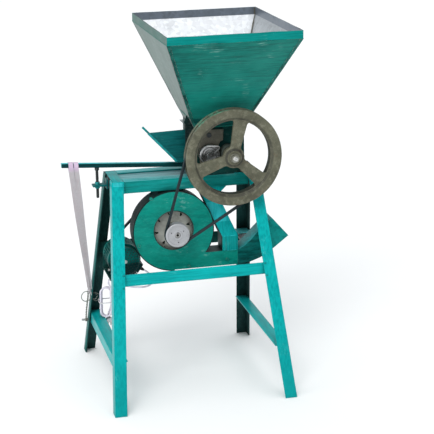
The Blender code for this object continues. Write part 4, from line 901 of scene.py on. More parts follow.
def hopper_skin():
    """Four sheets, a little dished and dented between their seams, with the rim band folded upright."""
    bm = bmesh.new()
    levels = [1.2150, 1.2130, 1.2020, 1.1905, 1.1880]
    levels += [1.1880 - (1.1880 - 0.9130) * i / 26 for i in range(1, 27)]
    levels += [0.9020, 0.8910, 0.8800]
    cells = 28

    def loop(z, inset, side):
        x0, x1, h = hopper_at(z)
        x0, x1, y0, y1 = x0 + inset, x1 - inset, -h + inset, h - inset
        corners = [(x0, y0), (x1, y0), (x1, y1), (x0, y1)]
        pts = []
        slope = 1.0 if 0.913 < z < 1.188 else 0.15
        for e in range(4):
            a, b = Vector(corners[e]), Vector(corners[(e + 1) % 4])
            out = Vector(((b - a).y, -(b - a).x)).normalized()
            for k in range(cells):
                t = k / cells
                p = a.lerp(b, t)
                mid = math.sin(math.pi * t)
                down = math.sin(math.pi * min(1, max(0, (1.188 - z) / 0.275)))
                bow = -0.0022 * mid * down * slope
                dent = 0.0014 * noise.noise(Vector((t * 4 + e * 7, z * 13, 2.0))) * mid * (0.3 + 0.7 * down)
                wave = 0.0008 * noise.noise(Vector((t * 9 + e * 3, z * 4, 9.0))) * mid
                p = p + out * (bow + dent + wave)
                zz = z
                if z > 1.2149:
                    zz += -0.0009 * (1 + noise.noise(Vector((t * 7 + e * 5, 0, 4))))
                pts.append((p.x, p.y, zz))
        return [bm.verts.new(p) for p in pts]

    outside = [loop(z, 0.0, 1) for z in levels]
    inside = [loop(z, 0.0020, -1) for z in levels]
    count = 4 * cells

    def skin(rows, flip, band, panel):
        for r, (one, two) in enumerate(zip(rows, rows[1:])):
            for k in range(count):
                j = (k + 1) % count
                face = bm.faces.new((one[k], one[j], two[j], two[k]) if flip else (one[k], two[k], two[j], one[j]))
                side = k // cells
                face.material_index = panel(side, levels[r])
    # 0 green panel, 1 rim band, 2 left panel lightened as painted light, 3 left band in a greyer copy, also painted
    # light, 4 inside bright, 5 inside stained, 6 inside band, 7 dark top edge, 8 neck darkened as painted shade
    def out_index(side, z):
        if side == 3:
            return 3 if z > 1.1881 else 2
        if z < 0.9131:
            return 8
        return 1 if z > 1.1881 else 0
    def in_index(side, z):
        if z > 1.1881:
            return 6
        return 5 if side == 1 else 4
    skin(outside, False, None, out_index)
    skin(inside, True, None, in_index)
    for a, b in ((outside[0], inside[0]), (inside[-1], outside[-1])):
        for k in range(count):
            j = (k + 1) % count
            face = bm.faces.new((a[k], a[j], b[j], b[k]))
            face.material_index = 7 if k // cells in (1, 3) else 1
    bmesh.ops.recalc_face_normals(bm, faces=bm.faces)
    return make(
        "hopper.skin", bm, ["hopper_paint", "band", "left_panel", "left_band", "galv_bright", "galv_mottled", "galv_band", "edge_dark", "neck"],
        smooth=24, replaces=("hopper",),
    )


M["left_band"] = paint("green_band_left", (0.038, 0.115, 0.095), (0.020, 0.070, 0.058), (0.09, 0.18, 0.15), (60, 12, 40), 0.36, wear=0.8)
M["galv_band"] = galvanised("zinc_band", (0.17, 0.20, 0.24), 0.55, 0.42, (0.07, 0.08, 0.09), 0.35)
M["edge_dark"] = paint("raw_edge", (0.035, 0.045, 0.042), (0.012, 0.016, 0.015), (0.10, 0.12, 0.11), (40, 40, 40), 0.5)
hopper_skin()


def corner_points(sx, sy, z):
    x0, x1, h = hopper_at(z)
    return Vector((x0 if sx < 0 else x1, sy * h, z))


# seams: the side sheets' edges are bent round onto the front and rear sheets, cut by hand
bm_seam, bm_seam_dark = bmesh.new(), bmesh.new()
for sx in (-1, 1):
    for sy in (-1, 1):
        top, low, foot = corner_points(sx, sy, 1.1865), corner_points(sx, sy, 0.9130), corner_points(sx, sy, 0.8820)
        inward = Vector((-sx, 0, 0))
        along = (low - top).normalized()
        normal = along.cross(inward).normalized()
        if normal.y * sy < 0:
            normal = -normal
        # the bow of the sheet is away from the flange, so that it stands a little proud
        jagged_strip(bm_seam, top, low, inward, normal, 0.0100, 0.0014, 3 + 5 * sx + 11 * sy, 90, 0.0022)
        jagged_strip(bm_seam, low, foot, inward, normal, 0.0080, 0.0012, 8 + 5 * sx + 11 * sy, 14, 0.0012)
        side_in = Vector((0, -sy, 0))
        side_normal = along.cross(side_in).normalized()
        if side_normal.x * sx < 0:
            side_normal = -side_normal
        jagged_strip(bm_seam_dark, top, low, side_in, side_normal, 0.0045, 0.0010, 5 + 3 * sx + 7 * sy, 90, 0.0018)
for b in (bm_seam, bm_seam_dark):
    bmesh.ops.recalc_face_normals(b, faces=b.faces)
M["seam"] = paint("seam_paint", (0.010, 0.110, 0.088), (0.004, 0.030, 0.026), (0.06, 0.24, 0.20), (60, 60, 60), 0.42, wear=1.0, bare=(0.42, 0.46, 0.44), dust_and_shade_amount=0.3)
M["seam_side"] = paint("seam_side_paint", (0.060, 0.075, 0.068), (0.020, 0.026, 0.024), (0.20, 0.22, 0.20), (60, 60, 60), 0.46, wear=0.9, bare=(0.50, 0.50, 0.48))
make("hopper_seams", bm_seam, "seam", smooth=40)
make("hopper_seam_edges", bm_seam_dark, "seam_side", smooth=40)

# welds inside the corners, the folded bead under the rim band, and the seam where the neck meets the sheets
bm = bmesh.new()
for sx in (-1, 1):
    for sy in (-1, 1):
        inset = Vector((-sx * 0.0030, -sy * 0.0030, 0))
        weld_bead(bm, corner_points(sx, sy, 1.212) + inset, corner_points(sx, sy, 1.188) + inset, 0.0028, 3)
        weld_bead(bm, corner_points(sx, sy, 1.188) + inset, corner_points(sx, sy, 0.915) + inset, 0.0028, sx + 2 * sy, 0.0010)
bmesh.ops.recalc_face_normals(bm, faces=bm.faces)
make("hopper_corner_welds", bm, "weld_dark" if "weld_dark" in M else "iron")
bm = bmesh.new()
for a, b, seed in (((-1, -1), (1, -1), 1), ((1, -1), (1, 1), 2), ((1, 1), (-1, 1), 3), ((-1, 1), (-1, -1), 4)):
    pa, pb = corner_points(*a, 1.1876), corner_points(*b, 1.1876)
    tube(bm, [pa.lerp(pb, i / 40) + Vector((0, 0, 0.0005 * noise.noise(Vector((i * 0.4, seed, 0))))) for i in range(41)], 0.0011, 8)
bmesh.ops.recalc_face_normals(bm, faces=bm.faces)
make("hopper_rim_fold", bm, "green_x")
bm = bmesh.new()
for a, b, seed in (((-1, -1), (1, -1), 1), ((1, -1), (1, 1), 2), ((1, 1), (-1, 1), 3), ((-1, 1), (-1, -1), 4)):
    weld_bead(bm, corner_points(*a, 0.9135), corner_points(*b, 0.9135), 0.0019, seed + 20)
    weld_bead(bm, corner_points(*a, 0.8805), corner_points(*b, 0.8805), 0.0022, seed + 30)
bmesh.ops.recalc_face_normals(bm, faces=bm.faces)
make("hopper_neck_welds", bm, "green_x")

# ------------------------------------------------------------------ the large wheel
SPOKES = [math.radians(a) for a in (78, 198, 318)]


def spoke_opening(first, second):
    half_in, half_out, r_in, r_out = 0.0165, 0.0235, 0.0355, 0.1238
    lo, hi = first + math.asin(half_out / r_out), second - math.asin(half_out / r_out)
    arc_out = [(r_out * math.cos(lo + (hi - lo) * i / 40), r_out * math.sin(lo + (hi - lo) * i / 40)) for i in range(41)]
    lo2, hi2 = second - math.asin(half_in / r_in), first + math.asin(half_in / r_in)
    arc_in = [(r_in * math.cos(lo2 + (hi2 - lo2) * i / 12), r_in * math.sin(lo2 + (hi2 - lo2) * i / 12)) for i in range(13)]

    def corner(before, at, after, size):
        b = Vector(at)
        da, dc = Vector(before) - b, Vector(after) - b
        start, end = b + da.normalized() * size, b + dc.normalized() * size
        return [tuple((1 - t) ** 2 * start + 2 * t * (1 - t) * b + t * t * end) for t in [k / 7 for k in range(8)]]

    def trim(arc, size):
        return [p for p in arc[1:-1] if (Vector(p) - Vector(arc[0])).length > size and (Vector(p) - Vector(arc[-1])).length > size]

    big, small = 0.0120, 0.0085
    pts = corner(arc_in[-1], arc_out[0], arc_out[2], big) + trim(arc_out, big * 1.05)
    pts += corner(arc_out[-3], arc_out[-1], arc_in[0], big)
    pts += corner(arc_out[-1], arc_in[0], arc_in[2], small) + trim(arc_in, small * 1.05)
    pts += corner(arc_in[-3], arc_in[-1], arc_out[0], small)
    return [(MAIN[0] + u, MAIN[1] + v) for u, v in pts]


bm = bmesh.new()
turns = SPOKES + [SPOKES[0] + 2 * math.pi]
prism(bm, circle(MAIN, 0.1275, 96), -0.1625, -0.1505, [spoke_opening(turns[i], turns[i + 1]) for i in range(3)])
bmesh.ops.recalc_face_normals(bm, faces=bm.faces)
make("wheel_spokes", bm, "wheel", "main_rotor", bevel=0.0028, segments=3)
rim_profile = [
    (0.1235, -0.1305), (0.1240, -0.1300), (0.1590, -0.1300), (0.1600, -0.1312), (0.1600, BELT_Y + 0.0068), (0.1590, BELT_Y + 0.0060),
    (0.1480, BELT_Y + 0.0052), (0.1470, BELT_Y + 0.0040), (0.1470, BELT_Y - 0.0040), (0.1480, BELT_Y - 0.0052), (0.1590, BELT_Y - 0.0060),
    (0.1600, BELT_Y - 0.0068), (0.1600, -0.1672), (0.1592, -0.1686), (0.1574, -0.1696), (0.1545, -0.1700), (0.1375, -0.1700),
    (0.1345, -0.1696), (0.1322, -0.1684), (0.1270, -0.1632), (0.1248, -0.1618), (0.1226, -0.1608), (0.1222, -0.1590), (0.1222, -0.1506), (0.1233, -0.1490), (0.1235, -0.1470),
]


# rim faces: the inner faces (2) and the inner slope (3) darkened as painted shade
def rim_face(face):
    c = face.calc_center_median()
    r = math.hypot(c.x - MAIN[0], c.z - MAIN[1])
    if r < 0.1262 and (face.normal.x * (c.x - MAIN[0]) + face.normal.z * (c.z - MAIN[1])) < 0:
        return 2
    if r < 0.1330 and c.y < -0.155:
        return 3
    return 1 if r > 0.1585 or 0.140 < r < 0.1595 and c.y > -0.165 else 0


turned_piece("wheel_rim", rim_profile, MAIN, ["wheel", "wheel_edge", "wheel_inner", "wheel_slope"], "main_rotor", closed=True, steps=160, smooth=28, replaces=("wheel",), pick=rim_face)
hub_profile = [
    (0.0128, -0.1120), (0.0235, -0.1120), (0.0245, -0.1130), (0.0245, -0.1480), (0.0262, -0.1500), (0.0330, -0.1508), (0.0330, -0.1618),
    (0.0305, -0.1640), (0.0292, -0.1652), (0.0288, -0.1668), (0.0262, -0.1676), (0.0252, -0.1684), (0.0248, -0.1704), (0.0238, -0.1712), (0.0128, -0.1712),
]
# the ring round the hub's step takes the dark iron, painted shade
turned_piece(
    "wheel_hub", hub_profile, MAIN, ["wheel", "wheel_inner"], "main_rotor", closed=True, steps=96, smooth=28,
    pick=lambda f: 1 if 0.0240 < math.hypot(f.calc_center_median().x - MAIN[0], f.calc_center_median().z - MAIN[1]) < 0.0300 and f.calc_center_median().y < -0.16 else 0,
)
# main shaft: shouldered, threaded end with a washer and a hexagon nut
turned_piece(
    "main_shaft.skin",
    [(0, 0.1180), (0.0112, 0.1180), (0.0125, 0.1167), (0.0125, -0.1702), (0.0118, -0.1713), (0.0080, -0.1715)]
    + [(0.0080 if i % 2 else 0.0073, -0.1720 - 0.00065 * i) for i in range(29)]
    + [(0.0068, -0.1912), (0.0060, -0.1920), (0.0022, -0.1920), (0.0004, -0.1905), (0, -0.1905)],
    MAIN, "steel_main", "main_rotor", steps=64, smooth=30, replaces=("main_shaft",),
)
bm = bmesh.new()
hex_bolt(bm, (MAIN[0], -0.1716, MAIN[1]), (0, -1, 0), 0.0240, 0.0110, 0.0150, turn=0.2)
make("wheel_nut.skin", bm, "nut", "main_rotor", smooth=25, replaces=("wheel_nut",))

# ------------------------------------------------------------------ bearings, pivot, rolls and gears
def plummer(name, y0, y1, facing, replaces):
    """A round flanged housing with its ball bearing seen in the bore."""
    lo, hi = (y0, y1) if facing > 0 else (y1, y0)  # hi is the outer face
    s = 1 if hi > lo else -1
    turned_piece(
        name,
        [(0.0212, lo), (0.0280, lo), (0.0280, hi - s * 0.0022), (0.0272, hi - s * 0.0008), (0.0258, hi), (0.0226, hi), (0.0212, hi - s * 0.0012)],
        MAIN, "iron_green", closed=True, steps=72, replaces=replaces,
    )
    turned_piece(
        name + "_bearing",
        [(0.0131, lo + s * 0.001), (0.0212, lo + s * 0.001), (0.0212, hi - s * 0.0020), (0.0188, hi - s * 0.0020), (0.0186, hi - s * 0.0030), (0.0158, hi - s * 0.0030), (0.0156, hi - s * 0.0020), (0.0131, hi - s * 0.0020)],
        MAIN, "alu_roll", closed=True, steps=64,
    )


plummer("main_bearing_front.skin", -0.0783, -0.1060, 1, ("main_bearing_front",))
plummer("main_bearing_rear.skin", 0.0783, 0.0930, 1, ("main_bearing_rear",))
turned_piece(
    "roll_bearing_front.skin",
    [
        (0.0104, -0.0912), (0.0325, -0.0912), (0.0335, -0.0922), (0.0335, -0.1032), (0.0327, -0.1041), (0.0316, -0.1045), (0.0272, -0.1045), (0.0268, -0.1040),
        (0.0264, -0.1016), (0.0250, -0.1012), (0.0225, -0.1010), (0.0221, -0.1021), (0.0195, -0.1023), (0.0190, -0.1010), (0.0168, -0.1012), (0.0163, -0.1038),
        (0.0158, -0.1045), (0.0110, -0.1045), (0.0104, -0.1040),
    ],
    ROLL, "alu_roll", "swing_frame", closed=True, steps=96, smooth=26, replaces=("roll_bearing_front",),
)
turned_piece(
    "movable_roll_shaft.skin",
    [(0, 0.1180), (0.0090, 0.1180), (0.0100, 0.1170), (0.0100, -0.1075), (0.0092, -0.1085), (0.0030, -0.1085), (0.0018, -0.1068), (0, -0.1068)],
    ROLL, "alu_roll", "movable_roll_rotor", steps=64, replaces=("movable_roll_shaft",),
)
turned_piece(
    "pivot_shaft.skin",
    [(0, 0.0930), (0.0070, 0.0930), (0.0080, 0.0920), (0.0080, -0.0920), (0.0070, -0.0930), (0.0016, -0.0930), (0, -0.0922)],
    PIVOT, "screw_dark", steps=48, replaces=("pivot_shaft",),
)


def roll(name, centre, material, body, bore, groove_count, depth, twist, replaces):
    """A roll with shallow helical flutes."""
    bm = bmesh.new()
    R, half, rows, steps = 0.0325, 0.060, 30, groove_count * 8
    loops = []
    for i in range(rows + 1):
        y = -half + 2 * half * i / rows
        end = 0.0012 if i in (0, rows) else 0.0
        ring_ = []
        for k in range(steps):
            t = 2 * math.pi * k / steps
            wave = max(0.0, math.cos(groove_count * (t + twist * y)) - 0.55) / 0.45
            r = R - end - depth * wave
            ring_.append(bm.verts.new((centre[0] + r * math.cos(t), y, centre[1] + r * math.sin(t))))
        loops.append(ring_)
    for one, two in zip(loops, loops[1:]):
        for k in range(steps):
            j = (k + 1) % steps
            bm.faces.new((one[k], one[j], two[j], two[k]))
    for loop_, y in ((loops[0], -half), (loops[-1], half)):
        inner = [bm.verts.new((centre[0] + bore * math.cos(2 * math.pi * k / steps), y, centre[1] + bore * math.sin(2 * math.pi * k / steps))) for k in range(steps)]
        for k in range(steps):
            j = (k + 1) % steps
            bm.faces.new((loop_[k], loop_[j], inner[j], inner[k]))
    bmesh.ops.recalc_face_normals(bm, faces=bm.faces)
    make(name, bm, material, body, smooth=40, replaces=replaces)


roll("fixed_roll.skin", MAIN, "steel_main", "main_rotor", 0.0128, 24, 0.0009, 5.0, ("fixed_roll",))
roll("movable_roll.skin", ROLL, "rubber", "movable_roll_rotor", 0.0103, 18, 0.0007, -5.0, ("movable_roll",))


def gear(name, centre, teeth, phase, bore, body, replaces, holes):
    module = 0.0022 if False else 0.002
    pitch = module * teeth / 2
    pts = []
    for i in range(teeth):
        mid, step = phase + 2 * math.pi * i / teeth, 2 * math.pi / teeth
        for off, r in (
            (-0.36, pitch - 0.0025), (-0.29, pitch - 0.0023), (-0.22, pitch - 0.0008), (-0.16, pitch + 0.0006), (-0.10, pitch + 0.0018),
            (0.10, pitch + 0.0018), (0.16, pitch + 0.0006), (0.22, pitch - 0.0008), (0.29, pitch - 0.0023), (0.36, pitch - 0.0025),
        ):
            a = mid + off * step
            pts.append((centre[0] + r * math.cos(a), centre[1] + r * math.sin(a)))
    bm = bmesh.new()
    through = [circle((centre[0] + 0.6 * pitch * math.cos(a), centre[1] + 0.6 * pitch * math.sin(a)), 0.0040, 20) for a in [2 * math.pi * k / holes for k in range(holes)]] if holes else []
    prism(bm, pts, 0.0975, 0.1135, [circle(centre, bore, 40), *through])
    bmesh.ops.recalc_face_normals(bm, faces=bm.faces)
    return make(name, bm, "steel", body, replaces=replaces, bevel=0.0003, segments=1)


gear("gear_fast.skin", MAIN, 30, math.pi, 0.0128, "main_rotor", ("gear_fast",), 0)
gear("gear_slow.skin", ROLL, 36, math.pi / 36, 0.0103, "movable_roll_rotor", ("gear_slow",), 5)

# ------------------------------------------------------------------ fan: impeller, shaft, pulleys
bm = bmesh.new()
NOTCH = []
for k in range(8):
    mid = 2 * math.pi * k / 8 + 0.2
    c, s = math.cos(mid), math.sin(mid)
    quad = [(0.0485, -0.0015), (0.0600, -0.0058), (0.0600, 0.0058), (0.0485, 0.0015)]
    NOTCH.append([(FAN[0] + r * c - w * s, FAN[1] + r * s + w * c) for r, w in quad])
prism(bm, circle(FAN, 0.1120, 96), -0.0790, -0.0774, [circle(FAN, 0.0200, 40), *NOTCH])
for k in range(8):
    mid = 2 * math.pi * k / 8 + 0.2
    rows = []
    for i in range(13):
        r = 0.0580 + (0.1145 - 0.0580) * i / 12
        a = mid + 0.06 * math.sin(math.pi * i / 12)
        side = 0.0009
        c, s = math.cos(a), math.sin(a)
        rows.append([
            bm.verts.new((FAN[0] + r * c - side * s, -0.0415, FAN[1] + r * s + side * c)), bm.verts.new((FAN[0] + r * c - side * s, -0.0935, FAN[1] + r * s + side * c)),
            bm.verts.new((FAN[0] + r * c + side * s, -0.0935, FAN[1] + r * s - side * c)), bm.verts.new((FAN[0] + r * c + side * s, -0.0415, FAN[1] + r * s - side * c)),
        ])
    for one, two in zip(rows, rows[1:]):
        for q in range(4):
            bm.faces.new((one[q], one[(q + 1) % 4], two[(q + 1) % 4], two[q]))
    bm.faces.new(list(reversed(rows[0])))
    bm.faces.new(rows[-1])
bmesh.ops.recalc_face_normals(bm, faces=bm.faces)
make("impeller.skin", bm, "galv_disc", "fan_rotor", smooth=30, replaces=("impeller",), bevel=0.0003, segments=1)
turned_piece(
    "impeller_hub",
    [(0.0093, -0.0415), (0.0215, -0.0415), (0.0215, -0.0880), (0.0195, -0.0900), (0.0093, -0.0900)],
    FAN, "iron", "fan_rotor", closed=True, steps=64,
)
turned_piece(
    "fan_shaft.skin",
    [(0, 0.1500), (0.0080, 0.1500), (0.0090, 0.1490), (0.0090, -0.1590), (0.0080, -0.1600), (0.0025, -0.1600), (0.0012, -0.1588), (0, -0.1588)],
    FAN, "steel_fan", "fan_rotor", steps=56, replaces=("fan_shaft",),
)


def vee(outer, pitch, y, front, back, bore, web=None, rear=False):
    """The profile of a one-groove pulley, from its back round the groove to its front."""
    p = [
        (outer - 0.0008, back), (outer, back - 0.0008), (outer, y + 0.0070), (outer - 0.0006, y + 0.0062), (pitch - 0.0046, y + 0.0054), (pitch - 0.0050, y + 0.0048),
        (pitch - 0.0050, y - 0.0048), (pitch - 0.0046, y - 0.0054), (outer - 0.0006, y - 0.0062), (outer, y - 0.0070), (outer, front + 0.0018), (outer - 0.0010, front + 0.0006), (outer - 0.0026, front),
    ]
    if web:
        r_rim, r_hub, depth = web
        p += [(r_rim, front), (r_rim - 0.0012, front + depth), (r_hub + 0.0012, front + depth), (r_hub, front)]
    p += [(bore + 0.0008, front), (bore, front + 0.0008), (bore, back)]
    return p


def drilled(obj, centre, radius, holes, hole_r, y0, y1, phase=0.0):
    """Cuts small round holes through a turned piece."""
    bm = bmesh.new()
    for k in range(holes):
        a = phase + 2 * math.pi * k / holes
        prism(bm, circle((centre[0] + radius * math.cos(a), centre[1] + radius * math.sin(a)), hole_r, 20), y0, y1)
    bmesh.ops.translate(bm, verts=bm.verts, vec=(SHIFT, 0, 0))
    bmesh.ops.recalc_face_normals(bm, faces=bm.faces)
    cutter_mesh = bpy.data.meshes.new("cutter")
    bm.to_mesh(cutter_mesh)
    bm.free()
    cutter = bpy.data.objects.new("cutter", cutter_mesh)
    scene.collection.objects.link(cutter)
    m = obj.modifiers.new("holes", "BOOLEAN")
    m.operation, m.solver, m.object = "DIFFERENCE", "EXACT", cutter
    bpy.context.view_layer.update()
    done = bpy.data.meshes.new_from_object(obj.evaluated_get(bpy.context.evaluated_depsgraph_get()))
    obj.modifiers.remove(m)
    old, obj.data = obj.data, done
    done.shade_smooth()
    done.set_sharp_from_angle(angle=math.radians(30))
    bpy.data.objects.remove(cutter)


pulley_obj = turned_piece("fan_pulley.skin", vee(0.0400, FAN_PITCH, BELT_Y, -0.1640, -0.1370, 0.0092, (0.0325, 0.0155, 0.0012)), FAN, "alu_fan", "fan_rotor", closed=True, steps=96, smooth=28, replaces=("fan_pulley",))
drilled(pulley_obj, FAN, 0.0235, 3, 0.0021, -0.1700, -0.1560, 0.6)
rear_pulley = turned_piece("fan_rear_pulley.skin", [(r, y) for r, y in vee(0.0590, FAN_REAR_PITCH, REAR_BELT_Y, 0.1240, 0.1480, 0.0093)], FAN, "iron_green", "fan_rotor", closed=True, steps=96, smooth=28, replaces=("fan_rear_pulley",))
drilled(rear_pulley, FAN, 0.0330, 5, 0.0085, 0.1100, 0.1600, 0.2)
turned_piece("motor_pulley.skin", vee(0.0385, MOTOR_PITCH, REAR_BELT_Y, 0.1240, 0.1480, 0.0073), MOTOR, "iron", "motor_rotor", closed=True, steps=80, smooth=28, replaces=("motor_pulley",))
turned_piece("motor_shaft.skin", [(0, 0.1520), (0.0060, 0.1520), (0.0070, 0.1510), (0.0070, 0.0920), (0, 0.0920)], MOTOR, "steel", "motor_rotor", steps=40, replaces=("motor_shaft",))
# key on the fan's front pulley, and a small disc at its shaft end's centre
# both near black: painted shade in the keyway and in the shaft end's centre hole
bm = bmesh.new()
prism(bm, [(FAN[0] - 0.0022, FAN[1] + 0.0070), (FAN[0] + 0.0022, FAN[1] + 0.0070), (FAN[0] + 0.0022, FAN[1] + 0.0112), (FAN[0] - 0.0022, FAN[1] + 0.0112)], -0.1643, -0.1400)
bmesh.ops.recalc_face_normals(bm, faces=bm.faces)
make("fan_pulley_key", bm, "dark_hole", "fan_rotor", bevel=0.0003)
turned_piece("fan_shaft_centre", [(0, -0.1604), (0.0042, -0.1604), (0.0048, -0.1598), (0, -0.1596)], FAN, "dark_hole", "fan_rotor", steps=32)


# ------------------------------------------------------------------ belts
def belt_line(c0, r0, c1, r1, steps=64):
    dx, dz = c1[0] - c0[0], c1[1] - c0[1]
    dist, base = math.hypot(dx, dz), math.atan2(dz, dx)
    lean = math.acos((r0 - r1) / dist)
    pts = []
    for i in range(steps + 1):
        a = base + lean + i / steps * (2 * math.pi - 2 * lean)
        pts.append((c0[0] + r0 * math.cos(a), c0[1] + r0 * math.sin(a), math.cos(a), math.sin(a)))
    for i in range(steps + 1):
        a = base - lean + i / steps * (2 * lean)
        pts.append((c1[0] + r1 * math.cos(a), c1[1] + r1 * math.sin(a), math.cos(a), math.sin(a)))
    return pts


def vee_belt(name, c0, p0, c1, p1, y, material):
    """A wrapped V-belt: its section runs round the pitch line, with straight runs split into short pieces with a slight
    uneven sag.
    """
    line = belt_line(c0, p0, c1, p1)
    full = []
    for i, p in enumerate(line):
        q = line[(i + 1) % len(line)]
        full.append(p)
        gap = math.hypot(q[0] - p[0], q[1] - p[1])
        if gap > 0.02:
            for k in range(1, 24):
                t = k / 24
                sag = 0.0009 * math.sin(math.pi * t) * noise.noise(Vector((t * 3, i, 2)))
                nx, nz = p[2] * (1 - t) + q[2] * t, p[3] * (1 - t) + q[3] * t
                full.append((p[0] + (q[0] - p[0]) * t + nx * sag, p[1] + (q[1] - p[1]) * t + nz * sag, nx, nz))
    section = [(0.0040, -0.0044), (0.0040, 0.0044), (0.0034, 0.0048), (0.0022, 0.0047), (-0.0036, 0.0034), (-0.0042, 0.0028), (-0.0042, -0.0028), (-0.0036, -0.0034), (0.0022, -0.0047), (0.0034, -0.0048)]
    bm = bmesh.new()
    rings = [[bm.verts.new((p[0] + p[2] * u, y + v, p[1] + p[3] * u)) for u, v in section] for p in full]
    for i, one in enumerate(rings):
        two = rings[(i + 1) % len(rings)]
        for k in range(len(section)):
            j = (k + 1) % len(section)
            bm.faces.new((one[k], one[j], two[j], two[k]))
    bmesh.ops.recalc_face_normals(bm, faces=bm.faces)
    make(name + ".skin", bm, material, smooth=35, replaces=(name,))


vee_belt("belt_front", FAN, FAN_PITCH, MAIN, WHEEL_PITCH, BELT_Y, "belt")
vee_belt("belt_rear", MOTOR, MOTOR_PITCH, FAN, FAN_REAR_PITCH, REAR_BELT_Y, "belt")
# ------------------------------------------------------------------ fan casing: rolled edge and screws
bm = bmesh.new()
edge_line = duct_outline(-0.0012, 168)
tube(bm, [(p[0], -0.0990, p[1]) for p in edge_line if p[0] < 0.150], 0.0019, 8)
bmesh.ops.recalc_face_normals(bm, faces=bm.faces)
make("fan_front_edge", bm, "black")
bm = bmesh.new()
for x, z in ((-0.1254, 0.6590), (-0.0032, 0.4176), (-0.1700, 0.5030), (0.1280, 0.4300)):
    hex_bolt(bm, (x, -0.1001, z), (0, -1, 0), 0.0075, 0.0036, 0.0060, turn=x * 90)
bmesh.ops.recalc_face_normals(bm, faces=bm.faces)
make("fan_front_screws", bm, "disc", smooth=25)
# folded ring round the eye
bm = bmesh.new()
revolve(bm, [(0.0646, -0.0983), (0.0646, -0.1003), (0.0650, -0.1010), (0.0662, -0.1012), (0.0674, -0.1008), (0.0676, -0.0999)], FAN, 96, closed=True)
bmesh.ops.recalc_face_normals(bm, faces=bm.faces)
make("fan_eye_edge", bm, "edge_dark", smooth=40)

# ------------------------------------------------------------------ strap beside the roll's bearing
bm = bmesh.new()
strap = [Vector((ROLL[0] - 0.0120, -0.1080, ROLL[1] + 0.0305)), Vector((ROLL[0] + 0.0240, -0.1080, ROLL[1] + 0.0285)), Vector((ROLL[0] + 0.0300, -0.1080, ROLL[1] + 0.0255)), Vector((ROLL[0] + 0.0290, -0.1080, ROLL[1] + 0.0190)), Vector((ROLL[0] + 0.0130, -0.1080, ROLL[1] + 0.0060))]
strap = smooth_path(strap, 40)
rows = []
for i, p in enumerate(strap):
    q = strap[min(i + 1, len(strap) - 1)] - strap[max(i - 1, 0)]
    side = Vector((q.z, 0, -q.x)).normalized() * 0.0021
    rows.append([bm.verts.new(p + side + Vector((0, -0.0008, 0))), bm.verts.new(p - side + Vector((0, -0.0008, 0))), bm.verts.new(p - side + Vector((0, 0.0008, 0))), bm.verts.new(p + side + Vector((0, 0.0008, 0)))])
for one, two in zip(rows, rows[1:]):
    for k in range(4):
        bm.faces.new((one[k], one[(k + 1) % 4], two[(k + 1) % 4], two[k]))
bm.faces.new(list(reversed(rows[0])))
bm.faces.new(rows[-1])
bmesh.ops.recalc_face_normals(bm, faces=bm.faces)
make("roll_strap", bm, "zinc", "swing_frame", smooth=30)

# ------------------------------------------------------------------ tray's returned edge
tray_body = "stand"
bm = bmesh.new()
for y in (-0.0506, 0.0492):
    a, b = Vector((-0.1212, y + 0.0003, 0.8640)), Vector((-0.0285, y + 0.0003, 0.7640))
    along = (b - a).normalized()
    across = Vector((along.z, 0, -along.x))
    if across.x < 0:
        across = -across
    quad = [a, a + across * 0.0075, b + across * 0.0075, b]
    low = [bm.verts.new(p + Vector((0, -0.0006, 0))) for p in quad]
    high = [bm.verts.new(p + Vector((0, 0.0006, 0))) for p in quad]
    bm.faces.new(low)
    bm.faces.new(list(reversed(high)))
    for k in range(4):
        bm.faces.new((low[k], high[k], high[(k + 1) % 4], low[(k + 1) % 4]))
bmesh.ops.recalc_face_normals(bm, faces=bm.faces)
make("tray_returned_edge", bm, "tray_edge", bevel=0.0003)

# ------------------------------------------------------------------ stop screw with its lock nuts
STOP_X, Z0, Z1 = -0.2840, 0.6500, 0.7527
bm = bmesh.new()
profile = [(0, Z0), (0.0036, Z0), (0.0046, Z0 + 0.0010)]
steps = int((Z1 - 0.0084 - Z0 - 0.0012) / 0.00075)
profile += [(0.0050 if i % 2 else 0.0044, Z0 + 0.0012 + 0.00075 * i) for i in range(steps)]
profile += [(0.0050, Z1 - 0.0082), (0, Z1 - 0.0082)]
revolve(bm, profile, (STOP_X, 0.0), 28, axis="Z")
hex_bolt(bm, (STOP_X, 0, Z1 - 0.0083), (0, 0, 1), 0.0138, 0.0080, turn=0.5)
bmesh.ops.recalc_face_normals(bm, faces=bm.faces)
make("stop_screw.skin", bm, "screw_dark", "stop", smooth=28, replaces=("stop_screw",))
bm = bmesh.new()
for z, up in ((0.6962, 1), (0.6898, -1)):
    hex_bolt(bm, (STOP_X, 0, z), (0, 0, up), 0.0155, 0.0066, 0.0098 if up > 0 else 0.0, turn=0.2 * up + 0.3)
bmesh.ops.recalc_face_normals(bm, faces=bm.faces)
make("stop_lock_nuts", bm, "tray_edge", smooth=25)

# ------------------------------------------------------------------ elastic band: two strips doubled over the lever, tied at the foot
KNOT = Vector((-0.2930, 0.2130, 0.2640))


def lever_mid(x):
    return 0.7683 + (0.7400 - 0.7683) * (x + 0.4010) / 0.4510 - 0.0004


